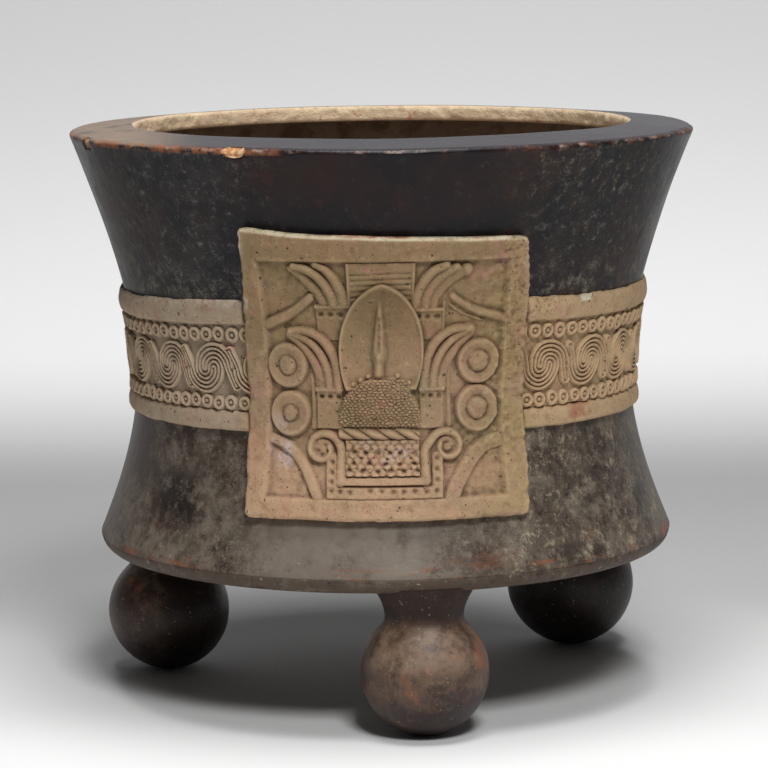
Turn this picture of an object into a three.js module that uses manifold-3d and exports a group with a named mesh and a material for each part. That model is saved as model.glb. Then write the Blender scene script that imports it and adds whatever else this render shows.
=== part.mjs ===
// A tripod incense burner of fired clay, with a waisted bowl, three hollow ball feet and applied relief.
// Millimetres, +Z up. The origin is on the bowl's axis at the level the feet stand on, and -Y is the front.

import * as THREE from "three";
import { mergeVertices } from "three/addons/utils/BufferGeometryUtils.js";
import Module from "manifold-3d";

// Bowl
const RIM_RADIUS = 140;
const WAIST_RADIUS = 112;
const BASE_RADIUS = 129.5;
const WAIST_ABOVE_BASE = 70;
const WALL_HEIGHT = 175.5;
const WALL_THICKNESS = 9.5;
// How far from the waist the wall bends before it runs nearly straight.
const UPPER_BEND = 80;
const LOWER_BEND = 60;

// Rim ring that lies on the wall
const RIM_RING_WIDTH = 29.4;
const RIM_RING_DEPTH = 7.6;
const RIM_OUTER_EDGE = 3.4;
const RIM_EDGE_BEVEL = 1.8;
const RIM_INNER_ROUND = 1.6;

// Floor slab under the wall
const SLAB_THICKNESS = 8;
const SLAB_EDGE_DROP = 1.2;
const SLAB_EDGE_BEVEL = 8.5;
// The bowl's floor is a little thicker in the middle, clear of the wall at its waist.
const FLOOR_RISE = 0.8;
const FLOOR_CLEAR_OF_WAIST = 3;

// Feet: a hollow ball with a worn flat under it, and a hollow neck up to the floor slab
const SHORTEST_NECK = 8.84;
const BALL_WALL = 7;
const WORN_FLAT_RADIUS = 5;
const BALL_SEAT_RADIUS = 18.2;
const FOOT_BORE_RADIUS = 11.5;
const NECK_WAIST_RADIUS = 17.4;
// Where a neck is narrowest, as a share of its height
const NECK_WAIST_PLACE = 0.35;
const NECK_TOP_RADIUS = 21.6;
const VENT_RADIUS = 2.5;
// The three feet are hand made and differ a little. A bearing is in degrees from the front, towards +X.
const FRONT_BALL_RADIUS = 28;
const FRONT_FOOT_FROM_AXIS = 109;
const RIGHT_BALL_RADIUS = 30.5;
const RIGHT_FOOT_FROM_AXIS = 113;
const LEFT_BALL_RADIUS = 28.4;
const LEFT_FOOT_FROM_AXIS = 104.5;
const FEET = [
  { place: "front", bearing: 8.5, fromAxis: FRONT_FOOT_FROM_AXIS, ballRadius: FRONT_BALL_RADIUS },
  { place: "right", bearing: 128.5, fromAxis: RIGHT_FOOT_FROM_AXIS, ballRadius: RIGHT_BALL_RADIUS },
  { place: "left", bearing: -104.5, fromAxis: LEFT_FOOT_FROM_AXIS, ballRadius: LEFT_BALL_RADIUS },
];

// Applied band between the two panels
const BAND_BOTTOM_ABOVE_BASE = 58;
const LOWER_FILLET_HEIGHT = 9.4;
const UPPER_FILLET_HEIGHT = 11.4;
const FILLET_DEPTH = 3.4;
const FILLET_EDGE_DEPTH = 2.3;
const STRIP_DEPTH = 1;
const ROW_DEPTH = 1.4;
const ROW_GAP = 1;
const PELLET_PITCH = 6.6;
const PELLET_DIAMETER = 6;
const PELLET_NECK = 2.6;
const SCROLL_PITCH = 27;
const SCROLL_HEIGHT = 22.4;
const SCROLL_NOTCH = 7;

// Moulded panels, front and back
const PANEL_WIDTH = 116;
const PANEL_HEIGHT = 121;
const PANEL_BOTTOM_ABOVE_BASE = 23.5;
const FRAME_SIDE = 8;
const FRAME_TOP = 11.5;
const FRAME_BOTTOM = 9;
const FIELD_DEPTH = 3;
const FRAME_DEPTH = 5.4;
const RELIEF_DEPTH = 2.2;
const DISC_FLOOR_DEPTH = 1.3;

// The panels' motif, drawn in its own units: across from its middle line, and up from the field's lower edge.
// It is stretched to fill the field, and its parts keep the gap between them.
const MOTIF_GAP = 0.8;
const BOWL_FLOOR = 8.7;
const BOWL_CHEEK = 8.5;
const VOLUTE_RADIUS = 6.3;
const VOLUTE_OVERHANG = 2.1;
const BEADS_HALF = 14.9;
const BEADS_HEIGHT = 14.3;
const ROPE_HEIGHT = 4.2;
const DOME_HALF = 17;
const DOME_SKIRT = 3;
const DOME_RISE = 16.5;
const BLADE_HALF = 17.3;
const BLADE_OVERLAP = 5.5;
const BLADE_SHOULDER = 10.5;
const BLADE_RISE = 31.5;
const BLADE_BLUNT = 3.2;
const BLADE_SIDE_GAP = 1.2;
// How full the blade's sides are: 1 is a plain parabola.
const BLADE_FULLNESS = 0.8;
const BARS_HALF = 12;
const BARS_DROP = 7;
const BARS_RISE = 8.2;
const LOWER_BLOCK_WIDTH = 10.2;
const LOWER_BLOCK_HEIGHT = 15.6;
const UPPER_BLOCK_WIDTH = 11.8;
const UPPER_BLOCK_HEIGHT = 7.4;
const DISC_RADIUS = 9.2;
const DISC_HOLLOW_RADIUS = 5.6;
const DISC_BOSS_RADIUS = 3.8;
const DISC_SPACING = 1.6;
const DISC_SIDE_GAP = 3;
const ARC_WIDTH = 3.4;
const LOWER_ARC_RADIUS = 24.6;
const LOWER_ARC_SWEEP = [92, 178];
const UPPER_ARC_RADIUS = 32.4;
const UPPER_ARC_SWEEP = [224, 268];

// The clay joints are drawn as this gap, and a cut runs past a face by the other length.
const JOINT_GAP = 0.3;
const CUT_PAST = 1;

// How finely round shapes are drawn
const BOWL_SEGMENTS = 52;
const WALL_STEPS = 14;
const INNER_WALL_STEPS = 5;
const FOOT_SEGMENTS = 18;
const BAND_STEPS = 24;
const STRIP_RISES = 3;
const PANEL_STEPS = 12;
const PANEL_RISES = 8;
const STEPS_PER_SCROLL = 8;
const DISC_POINTS = 12;

// Heights that follow from the sizes above
const tallestBall = Math.max(...FEET.map((foot) => foot.ballRadius));
const slabBottom = ballSeat(tallestBall) + SHORTEST_NECK + 2 * JOINT_GAP;
const slabTop = slabBottom + SLAB_THICKNESS;
const waist = slabTop + WAIST_ABOVE_BASE;
const wallBottom = slabTop + JOINT_GAP;
const wallTop = wallBottom + WALL_HEIGHT;
const rimBottom = wallTop + JOINT_GAP;
const rimEdge = rimBottom + RIM_OUTER_EDGE;
const rimTop = rimBottom + RIM_RING_DEPTH;

const degrees = (angle) => (angle * Math.PI) / 180;
const inDegrees = (radians) => (radians * 180) / Math.PI;
const wasm = await Module();
wasm.setup();

// Height of a ball's centre over its worn flat, and of the seat for the neck on top of it.
function ballCentre(radius) {
  return Math.sqrt(radius ** 2 - WORN_FLAT_RADIUS ** 2);
}
function ballSeat(radius) {
  return ballCentre(radius) + Math.sqrt(radius ** 2 - BALL_SEAT_RADIUS ** 2);
}

// Outer radius of the wall at a height: one hyperbola above the waist and one below it.
function wallRadius(z) {
  const flare = (rise, reach, bend, t) =>
    (rise * (Math.hypot(1, t / bend) - 1)) / (Math.hypot(1, reach / bend) - 1);
  if (z > waist) return WAIST_RADIUS + flare(RIM_RADIUS - WAIST_RADIUS, rimEdge - waist, UPPER_BEND, z - waist);
  return WAIST_RADIUS + flare(BASE_RADIUS - WAIST_RADIUS, waist - slabTop, LOWER_BEND, waist - z);
}

// Evenly spaced values from the first to the last.
function spread(first, last, steps) {
  return Array.from({ length: steps + 1 }, (_, i) => first + ((last - first) * i) / steps);
}

// A closed geometry as a solid that can be joined and cut.
function solidOf(geometry) {
  const bare = geometry.clone();
  bare.deleteAttribute("normal");
  bare.deleteAttribute("uv");
  const merged = mergeVertices(bare, 1e-4);
  return new wasm.Manifold(
    new wasm.Mesh({
      numProp: 3,
      vertProperties: merged.attributes.position.array,
      triVerts: new Uint32Array(merged.index.array),
    }),
  );
}

// A joined or cut solid as a geometry again.
function geometryOf(solid) {
  const mesh = solid.getMesh();
  const positions = new THREE.BufferAttribute(new Float32Array(mesh.vertProperties), 3);
  const geometry = new THREE.BufferGeometry().setAttribute("position", positions);
  geometry.setIndex(new THREE.BufferAttribute(new Uint32Array(mesh.triVerts), 1));
  geometry.computeVertexNormals();
  return geometry;
}

// A closed outline of [radius, height] points, turned about the axis.
function turned(profile, segments) {
  const points = [...profile, profile[0]].map(([r, z]) => new THREE.Vector2(r, z));
  return new THREE.LatheGeometry(points, segments).rotateX(Math.PI / 2);
}

const rectangle = (left, right, bottom, top) => [
  [left, bottom],
  [right, bottom],
  [right, top],
  [left, top],
];

function shapeOf(outline) {
  return new THREE.Shape(outline.map(([x, y]) => new THREE.Vector2(x, y)));
}

// A section of [radius, height] points swept round the axis between two bearings, in degrees from the front.
function swept(section, from, to, steps) {
  const geometry = new THREE.ExtrudeGeometry(shapeOf(section), { depth: 1, steps, bevelEnabled: false });
  const position = geometry.attributes.position;
  for (let i = 0; i < position.count; i++) {
    const r = position.getX(i);
    const z = position.getY(i);
    const bearing = degrees(to - (to - from) * position.getZ(i));
    position.setXYZ(i, r * Math.sin(bearing), -r * Math.cos(bearing), z);
  }
  return geometry;
}

// The section of a layer on the wall, from one depth to another over it, between two heights.
function layerSection(low, high, bottom, top, steps) {
  const heights = spread(bottom, top, steps);
  const outside = heights.map((z) => [wallRadius(z) + high, z]);
  const inside = heights.map((z) => [wallRadius(z) + low, z]).reverse();
  return [...outside, ...inside];
}

// Parts of the bowl

function buildWall() {
  const heights = spread(wallBottom, wallTop, WALL_STEPS);
  const outside = heights.map((z) => [wallRadius(z), z]);
  const inside = spread(wallTop, wallBottom, INNER_WALL_STEPS).map((z) => [wallRadius(z) - WALL_THICKNESS, z]);
  return turned([...outside, ...inside], BOWL_SEGMENTS);
}

function buildRimRing() {
  const inner = RIM_RADIUS - RIM_RING_WIDTH;
  return turned(
    [
      [wallRadius(rimBottom), rimBottom],
      [RIM_RADIUS, rimEdge],
      [RIM_RADIUS - RIM_EDGE_BEVEL, rimEdge + RIM_EDGE_BEVEL],
      [inner + RIM_INNER_ROUND, rimTop],
      [inner, rimTop - RIM_INNER_ROUND],
      [inner, rimBottom],
    ],
    BOWL_SEGMENTS,
  );
}

function buildFloorSlab() {
  const edgeLevel = slabTop - SLAB_EDGE_DROP;
  const edge = spread(-90, 0, 3).map((a) => [
    BASE_RADIUS - SLAB_EDGE_BEVEL + SLAB_EDGE_BEVEL * Math.cos(degrees(a)),
    edgeLevel + (edgeLevel - slabBottom) * Math.sin(degrees(a)),
  ]);
  const floorRadius = WAIST_RADIUS - WALL_THICKNESS - FLOOR_CLEAR_OF_WAIST;
  const floorTop = slabTop + FLOOR_RISE;
  return turned(
    [
      [0, slabBottom],
      ...edge,
      [BASE_RADIUS, slabTop],
      [floorRadius + FLOOR_RISE, slabTop],
      [floorRadius, floorTop],
      [0, floorTop],
    ],
    BOWL_SEGMENTS,
  );
}

// Parts of a foot, standing on the origin

function buildBall(radius, inward) {
  const centre = ballCentre(radius);
  const seat = ballSeat(radius);
  const hollow = radius - BALL_WALL;
  const arc = (arcRadius, fromRise, toRise, steps) =>
    spread(Math.asin(fromRise / arcRadius), Math.asin(toRise / arcRadius), steps).map((angle) => [
      arcRadius * Math.cos(angle),
      centre + arcRadius * Math.sin(angle),
    ]);
  const outside = [[0, 0], ...arc(radius, -centre, seat - centre, 8)];
  const boreEnd = Math.sqrt(hollow ** 2 - FOOT_BORE_RADIUS ** 2);
  const inside = [...arc(hollow, boreEnd, -hollow, 5).slice(0, -1), [0, centre - hollow]];
  const shell = solidOf(turned([...outside, [FOOT_BORE_RADIUS, seat], ...inside], FOOT_SEGMENTS));
  const vent = new THREE.CylinderGeometry(VENT_RADIUS, VENT_RADIUS, radius, 8);
  vent.translate(0, -radius, 0).rotateZ(inward + Math.PI / 2).translate(0, 0, centre);
  return geometryOf(shell.subtract(solidOf(vent)));
}

function buildNeck(ballRadius) {
  const bottom = ballSeat(ballRadius) + JOINT_GAP;
  const top = slabBottom - JOINT_GAP;
  const narrowest = bottom + (top - bottom) * NECK_WAIST_PLACE;
  const outside = spread(bottom, top, 5).map((z) => {
    const below = z < narrowest;
    const end = below ? BALL_SEAT_RADIUS : NECK_TOP_RADIUS;
    const share = (z - narrowest) / (below ? bottom - narrowest : top - narrowest);
    return [NECK_WAIST_RADIUS + (end - NECK_WAIST_RADIUS) * share ** 2, z];
  });
  return turned([...outside, [FOOT_BORE_RADIUS, top], [FOOT_BORE_RADIUS, bottom]], FOOT_SEGMENTS);
}

// Parts of the band on one side, between the edges of the two panels

const panelBottom = slabTop + PANEL_BOTTOM_ABOVE_BASE;
const panelTop = panelBottom + PANEL_HEIGHT;
const panelArcRadius = wallRadius((panelBottom + panelTop) / 2) + FIELD_DEPTH;
const panelHalfAngle = inDegrees(PANEL_WIDTH / 2 / panelArcRadius);
const bandGapAngle = inDegrees(JOINT_GAP / WAIST_RADIUS);
const bandStart = panelHalfAngle + bandGapAngle;
const bandEnd = 180 - bandStart;
const bandBottom = slabTop + BAND_BOTTOM_ABOVE_BASE;
const stripBottom = bandBottom + LOWER_FILLET_HEIGHT + JOINT_GAP;
const stripTop = stripBottom + SCROLL_HEIGHT + 2 * (PELLET_DIAMETER + ROW_GAP);
const rowLow = JOINT_GAP + STRIP_DEPTH + JOINT_GAP;

function buildFillet(bottom, height) {
  const inner = [bottom + height, bottom].map((z) => [wallRadius(z) + JOINT_GAP, z]);
  const outer = [FILLET_EDGE_DEPTH, FILLET_DEPTH, FILLET_DEPTH, FILLET_EDGE_DEPTH].map((depth, i) => {
    const z = bottom + (height * i) / 3;
    return [wallRadius(z) + JOINT_GAP + depth, z];
  });
  return swept([...outer, ...inner], bandStart, bandEnd, BAND_STEPS);
}

function buildStrip() {
  const section = layerSection(JOINT_GAP, JOINT_GAP + STRIP_DEPTH, stripBottom, stripTop, STRIP_RISES);
  return swept(section, bandStart, bandEnd, BAND_STEPS);
}

// A ribbon along the strip. Its lower and upper edge follow from how far along the band a point is, from 0 to 1.
function ribbon(steps, edgesAt) {
  const section = shapeOf(rectangle(rowLow, rowLow + ROW_DEPTH, 0, 1));
  const geometry = new THREE.ExtrudeGeometry(section, { depth: 1, steps, bevelEnabled: false });
  const position = geometry.attributes.position;
  for (let i = 0; i < position.count; i++) {
    const along = 1 - position.getZ(i);
    const [bottom, top] = edgesAt(along);
    const z = bottom + (top - bottom) * position.getY(i);
    const r = wallRadius(z) + position.getX(i);
    const bearing = degrees(bandStart + (bandEnd - bandStart) * along);
    position.setXYZ(i, r * Math.sin(bearing), -r * Math.cos(bearing), z);
  }
  return geometry;
}

// How many times a pattern of this pitch fits along the band at a height.
function copiesAlong(z, pitch) {
  return Math.round((degrees(bandEnd - bandStart) * (wallRadius(z) + rowLow)) / pitch);
}

// A row of touching pellets: the ribbon swells to a pellet's width and narrows to the neck between two.
function buildPelletRow(centre) {
  const count = copiesAlong(centre, PELLET_PITCH);
  return ribbon(count * 2, (along) => {
    const inPellet = Math.abs(Math.sin(Math.PI * along * count));
    const half = (PELLET_NECK + (PELLET_DIAMETER - PELLET_NECK) * inPellet) / 2;
    return [centre - half, centre + half];
  });
}

// The running scroll: each spiral's upper edge dips where it passes down to run under the next one.
function buildScrollRow() {
  const centre = (stripBottom + stripTop) / 2;
  const count = copiesAlong(centre, SCROLL_PITCH);
  const notch = (phase) => SCROLL_NOTCH * Math.max(Math.cos(2 * Math.PI * phase), 0) ** 2;
  return ribbon(count * STEPS_PER_SCROLL, (along) => {
    const phase = along * count;
    const half = SCROLL_HEIGHT / 2;
    return [centre - half + notch(phase + 0.125), centre + half - notch(phase - 0.125)];
  });
}

// Parts of a panel, drawn at the front

// Levels of the motif, from its foot up
const bowlFloorTop = MOTIF_GAP + BOWL_FLOOR;
const beadsBottom = bowlFloorTop + MOTIF_GAP;
const beadsTop = beadsBottom + BEADS_HEIGHT;
const ropeBottom = beadsTop + MOTIF_GAP;
const ropeTop = ropeBottom + ROPE_HEIGHT;
const domeBottom = ropeTop + MOTIF_GAP;
const domeWidest = domeBottom + DOME_SKIRT;
const domeTop = domeWidest + DOME_RISE;
const bladeFoot = domeTop - BLADE_OVERLAP;
const bladeWidest = domeTop + BLADE_SHOULDER;
const bladeTip = bladeWidest + BLADE_RISE;
const barsTop = bladeTip + BARS_RISE;
const drawnHeight = barsTop + MOTIF_GAP;
const lowerBlockTop = domeBottom + LOWER_BLOCK_HEIGHT;
const voluteLevel = beadsTop - VOLUTE_RADIUS / 2;

// Places across the motif, from its middle line out
const bowlInner = BEADS_HALF + MOTIF_GAP;
const bowlOuter = bowlInner + BOWL_CHEEK;
const lowerBlockInner = Math.max(DOME_HALF, BLADE_HALF) + MOTIF_GAP;
const lowerBlockOuter = lowerBlockInner + LOWER_BLOCK_WIDTH;
const upperBlockInner = BARS_HALF + BLADE_SIDE_GAP;
const discAcross = lowerBlockOuter + DISC_SIDE_GAP + DISC_RADIUS;
const drawnHalfWidth = discAcross + DISC_RADIUS + MOTIF_GAP;

const fieldHalf = PANEL_WIDTH / 2 - FRAME_SIDE;
const fieldBottom = panelBottom + FRAME_BOTTOM;
const fieldTop = panelTop - FRAME_TOP;

// A point of the motif as [x, z], at a depth over the wall.
function onPanel([across, up], depth) {
  const arc = (across * fieldHalf) / drawnHalfWidth;
  const z = fieldBottom + (up * (fieldTop - fieldBottom)) / drawnHeight;
  return [(wallRadius(z) + depth) * Math.sin(arc / panelArcRadius), z];
}

const panelLayers = new Map();
function panelLayer(low, high) {
  const key = low + " " + high;
  if (!panelLayers.has(key)) {
    const section = layerSection(low, high, panelBottom, panelTop, PANEL_RISES);
    panelLayers.set(key, solidOf(swept(section, -panelHalfAngle, panelHalfAngle, PANEL_STEPS)));
  }
  return panelLayers.get(key);
}

// What an outline of the motif cuts out of a layer over the wall.
function plate(outline, low, high) {
  const points = outline.map((point) => onPanel(point, high));
  const cutter = new THREE.ExtrudeGeometry(shapeOf(points), { depth: RIM_RADIUS * 2, bevelEnabled: false });
  return panelLayer(low, high).intersect(solidOf(cutter.rotateX(Math.PI / 2)));
}

const reliefLow = FIELD_DEPTH + JOINT_GAP;
const reliefHigh = reliefLow + RELIEF_DEPTH;
const reliefPlate = (outline) => plate(outline, reliefLow, reliefHigh);
const mirrored = (outline) => outline.map(([x, y]) => [-x, y]).reverse();

function arcPoints([across, up], radius, from, to, steps) {
  return spread(from, to, steps).map((a) => [
    across + radius * Math.cos(degrees(a)),
    up + radius * Math.sin(degrees(a)),
  ]);
}

function buildPanelSlab() {
  const slab = panelLayer(JOINT_GAP, FRAME_DEPTH);
  const field = rectangle(-drawnHalfWidth, drawnHalfWidth, 0, drawnHeight);
  return slab.subtract(plate(field, FIELD_DEPTH, FRAME_DEPTH + CUT_PAST));
}

// Half widths of the pointed blade and of the dome below it, at a level. The blade is drawn in to a narrow foot.
const bladeHalf = (v) => {
  const reach = v > bladeWidest ? BLADE_RISE : bladeWidest;
  return BLADE_HALF * Math.max(1 - ((v - bladeWidest) / reach) ** 2, 0) ** BLADE_FULLNESS;
};
const domeHalf = (v) => {
  const rise = Math.max(v - domeWidest, 0) / DOME_RISE;
  return DOME_HALF * Math.sqrt(Math.max(1 - rise ** 2, 0));
};

function buildBlade() {
  const heights = [bladeFoot, ...spread(domeTop, bladeTip - BLADE_BLUNT, 7)];
  const right = heights.map((v) => [bladeHalf(v), v]);
  // Its lower edge follows the dome, from the middle line out.
  const overDome = spread(90, 50, 4).map((a) => [
    (DOME_HALF + MOTIF_GAP) * Math.cos(degrees(a)),
    domeWidest + (DOME_RISE + MOTIF_GAP) * Math.sin(degrees(a)),
  ]);
  return reliefPlate([...overDome, ...right, [0, bladeTip], ...mirrored(right), ...mirrored(overDome.slice(1))]);
}

function buildDome() {
  const right = arcPoints([0, 0], 1, 0, 80, 5).map(([x, y]) => [x * DOME_HALF, domeWidest + y * DOME_RISE]);
  return reliefPlate([[DOME_HALF, domeBottom], ...right, ...mirrored(right), [-DOME_HALF, domeBottom]]);
}

// The bowl with two rolled ends that stands under the dome.
function buildScrollBowl() {
  const right = [
    [bowlOuter, MOTIF_GAP],
    ...arcPoints([bowlOuter + VOLUTE_OVERHANG, voluteLevel], VOLUTE_RADIUS, -100, 125, 9),
    [bowlInner, beadsTop - VOLUTE_OVERHANG],
    [bowlInner, bowlFloorTop],
  ];
  return reliefPlate([...right, ...mirrored(right)]);
}

function buildBeadBlock() {
  return reliefPlate(rectangle(-BEADS_HALF, BEADS_HALF, beadsBottom, beadsTop));
}

function buildRope() {
  return reliefPlate(rectangle(-DOME_HALF, DOME_HALF, ropeBottom, ropeTop));
}

function buildTopBars() {
  const bottom = bladeTip - BARS_DROP;
  const overBlade = spread(bottom, bladeTip, 3).map((v) => [bladeHalf(v) + MOTIF_GAP, v]);
  const right = [[BARS_HALF, barsTop], [BARS_HALF, bottom], ...overBlade].reverse();
  return reliefPlate([...right, ...mirrored(right)]);
}

// A block beside the blade with the plume that rises from it and curls out, on the right.
// The plume's points are counted from the block's inner upper corner.
function crest(inner, outer, bottom, top, innerEdge, plume) {
  const curl = plume.map(([across, up]) => [inner + across, top + up]);
  return [...innerEdge, [outer, bottom], [outer, top], ...curl];
}

const LOWER_PLUME = [
  [11, 10],
  [13.2, 16.5],
  [17.2, 21.5],
  [21.6, 24.5],
  [18.2, 26.8],
  [13.2, 26.7],
  [7.4, 23.5],
  [3.2, 19],
  [1.2, 14],
  [0.4, 6],
];
const UPPER_PLUME = [
  [12.8, 6],
  [15.6, 10.5],
  [22.2, 15],
  [17.8, 18],
  [10.8, 18],
  [5.3, 16],
  [1.8, 11.5],
  [0.2, 6.5],
];

function lowerCrest() {
  const innerEdge = [[lowerBlockInner, domeBottom]];
  return crest(lowerBlockInner, lowerBlockOuter, domeBottom, lowerBlockTop, innerEdge, LOWER_PLUME);
}

function upperCrest() {
  const top = drawnHeight - MOTIF_GAP - Math.max(...UPPER_PLUME.map(([, up]) => up));
  const bottom = top - UPPER_BLOCK_HEIGHT;
  const innerEdge = [top, bottom].map((v) => [bladeHalf(v) + BLADE_SIDE_GAP, v]);
  return crest(upperBlockInner, upperBlockInner + UPPER_BLOCK_WIDTH, bottom, top, innerEdge, UPPER_PLUME);
}

// The arcs that cut off the field's corners.
function cornerArc(centre, radius, [from, to]) {
  return [...arcPoints(centre, radius, from, to, 6), ...arcPoints(centre, radius - ARC_WIDTH, to, from, 6)];
}
const lowerArc = () => cornerArc([drawnHalfWidth, 0], LOWER_ARC_RADIUS, LOWER_ARC_SWEEP);
const upperArc = () => cornerArc([drawnHalfWidth, drawnHeight + 2 * ARC_WIDTH], UPPER_ARC_RADIUS, UPPER_ARC_SWEEP);

// The round ear discs: a raised edge and a boss on a plate.
function buildDisc(across, up) {
  const circle = (radius) => arcPoints([across, up], radius, 0, 360 - 360 / DISC_POINTS, DISC_POINTS - 1);
  const floor = reliefLow + DISC_FLOOR_DEPTH;
  const hollow = plate(circle(DISC_HOLLOW_RADIUS), floor, reliefHigh + CUT_PAST);
  const boss = plate(circle(DISC_BOSS_RADIUS), reliefLow, reliefHigh);
  return reliefPlate(circle(DISC_RADIUS)).subtract(hollow).add(boss);
}
const lowerDiscLevel = lowerBlockTop - DISC_RADIUS;
const upperDiscLevel = lowerDiscLevel + 2 * DISC_RADIUS + DISC_SPACING;

// Materials: burnished dark slip over a brown clay, and bare tan clay for all that is applied
const clay = (color, roughness) => new THREE.MeshStandardMaterial({ color, roughness, metalness: 0 });
const finishes = {
  slip: clay(0x2c2826, 0.42),
  floor: clay(0x5a5148, 0.6),
  foot: clay(0x4a3a31, 0.5),
  tan: clay(0xa88a68, 0.85),
  relief: clay(0xb0916d, 0.85),
};

const part = new THREE.Group();

function addMesh(parent, name, geometry, finish) {
  const mesh = new THREE.Mesh(geometry, finishes[finish]);
  mesh.name = name;
  parent.add(mesh);
  return mesh;
}

addMesh(part, "vessel_wall", buildWall(), "slip");
addMesh(part, "rim_ring", buildRimRing(), "slip");
addMesh(part, "floor_slab", buildFloorSlab(), "floor");

for (const { place, bearing, fromAxis, ballRadius } of FEET) {
  const foot = new THREE.Group();
  const angle = degrees(bearing);
  foot.position.set(fromAxis * Math.sin(angle), -fromAxis * Math.cos(angle), 0);
  addMesh(foot, "foot_ball_" + place, buildBall(ballRadius, angle + Math.PI / 2), "foot");
  addMesh(foot, "foot_neck_" + place, buildNeck(ballRadius), "foot");
  part.add(foot);
}

for (const [side, turn] of Object.entries({ right: 0, left: Math.PI })) {
  const band = new THREE.Group();
  band.rotation.z = turn;
  addMesh(band, "lower_fillet_" + side, buildFillet(bandBottom, LOWER_FILLET_HEIGHT), "tan");
  addMesh(band, "upper_fillet_" + side, buildFillet(stripTop + JOINT_GAP, UPPER_FILLET_HEIGHT), "tan");
  addMesh(band, "band_strip_" + side, buildStrip(), "tan");
  addMesh(band, "lower_pellet_row_" + side, buildPelletRow(stripBottom + PELLET_DIAMETER / 2), "relief");
  addMesh(band, "upper_pellet_row_" + side, buildPelletRow(stripTop - PELLET_DIAMETER / 2), "relief");
  addMesh(band, "scroll_row_" + side, buildScrollRow(), "relief");
  part.add(band);
}

for (const [face, turn] of Object.entries({ front: 0, back: Math.PI })) {
  const panel = new THREE.Group();
  panel.rotation.z = turn;
  const addPiece = (name, solid) => addMesh(panel, name + "_" + face, geometryOf(solid), "relief");
  addMesh(panel, "panel_slab_" + face, geometryOf(buildPanelSlab()), "tan");
  addPiece("blade", buildBlade());
  addPiece("dome", buildDome());
  addPiece("rope", buildRope());
  addPiece("bead_block", buildBeadBlock());
  addPiece("scroll_bowl", buildScrollBowl());
  addPiece("top_bars", buildTopBars());
  for (const [hand, sign] of Object.entries({ right: 1, left: -1 })) {
    const onSide = (outline) => (sign > 0 ? outline : mirrored(outline));
    addPiece("lower_crest_" + hand, reliefPlate(onSide(lowerCrest())));
    addPiece("upper_crest_" + hand, reliefPlate(onSide(upperCrest())));
    addPiece("lower_arc_" + hand, reliefPlate(onSide(lowerArc())));
    addPiece("upper_arc_" + hand, reliefPlate(onSide(upperArc())));
    addPiece("lower_disc_" + hand, buildDisc(sign * discAcross, lowerDiscLevel));
    addPiece("upper_disc_" + hand, buildDisc(sign * discAcross, upperDiscLevel));
  }
  part.add(panel);
}

export default part;
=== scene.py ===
"""Looks of a tripod incense burner of fired clay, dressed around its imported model.

Lengths are in millimetres until a finished mesh is written, and in metres after that. The bowl stands on +Z
and its front panel faces -Y. A place on the wall is an arc length across, a height up and a depth over it.
"""

import logging
import math
from collections.abc import Callable, Sequence
from dataclasses import dataclass, field, replace
from enum import Enum
from functools import partial

import bmesh
import bpy
import numpy as np
from mathutils import Matrix, Vector


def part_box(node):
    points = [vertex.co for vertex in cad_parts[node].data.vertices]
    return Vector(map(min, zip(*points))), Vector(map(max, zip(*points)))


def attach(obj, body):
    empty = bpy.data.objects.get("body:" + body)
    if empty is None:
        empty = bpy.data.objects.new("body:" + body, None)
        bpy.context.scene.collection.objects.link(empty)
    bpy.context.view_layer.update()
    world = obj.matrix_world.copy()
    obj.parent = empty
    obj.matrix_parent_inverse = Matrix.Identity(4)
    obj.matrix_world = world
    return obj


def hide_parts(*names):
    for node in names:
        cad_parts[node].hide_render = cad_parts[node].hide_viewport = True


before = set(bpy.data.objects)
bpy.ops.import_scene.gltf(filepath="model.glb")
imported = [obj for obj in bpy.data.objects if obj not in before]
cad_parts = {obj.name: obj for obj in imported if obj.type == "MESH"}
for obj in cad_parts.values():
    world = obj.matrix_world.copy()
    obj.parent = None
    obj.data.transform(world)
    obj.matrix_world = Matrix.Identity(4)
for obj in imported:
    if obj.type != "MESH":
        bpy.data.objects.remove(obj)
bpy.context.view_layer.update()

LOG = logging.getLogger("incense_burner")

MM = 0.001
# Arc lengths across the wall are measured on a circle of this radius.
ARC_RADIUS = 116.0
HALF_TURN = math.pi * ARC_RADIUS
# Edges that bend more than this are drawn sharp.
SHARP = math.radians(55)
# The solids of luted pieces stand this far apart, and the looks close the gap.
JOINT = 0.3
# The rim's outer corner lies this far over the foot of its ring.
RIM_CORNER = 3.4

Array = np.ndarray
Relief = Callable[[Array, Array], Array]
Point = tuple[float, float]
Edges = tuple[float, float, float, float]
Tree = bpy.types.NodeTree
Socket = bpy.types.NodeSocket
# What feeds a node: another node's output, or a plain number or colour.
Value = Socket | float | tuple[float, float, float, float]


def cad_box(node: str) -> tuple[Vector, Vector]:
    """The lowest and highest corner of a CAD node, in millimetres."""
    low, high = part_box(node)
    return low / MM, high / MM


# Clay's unevenness

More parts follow.
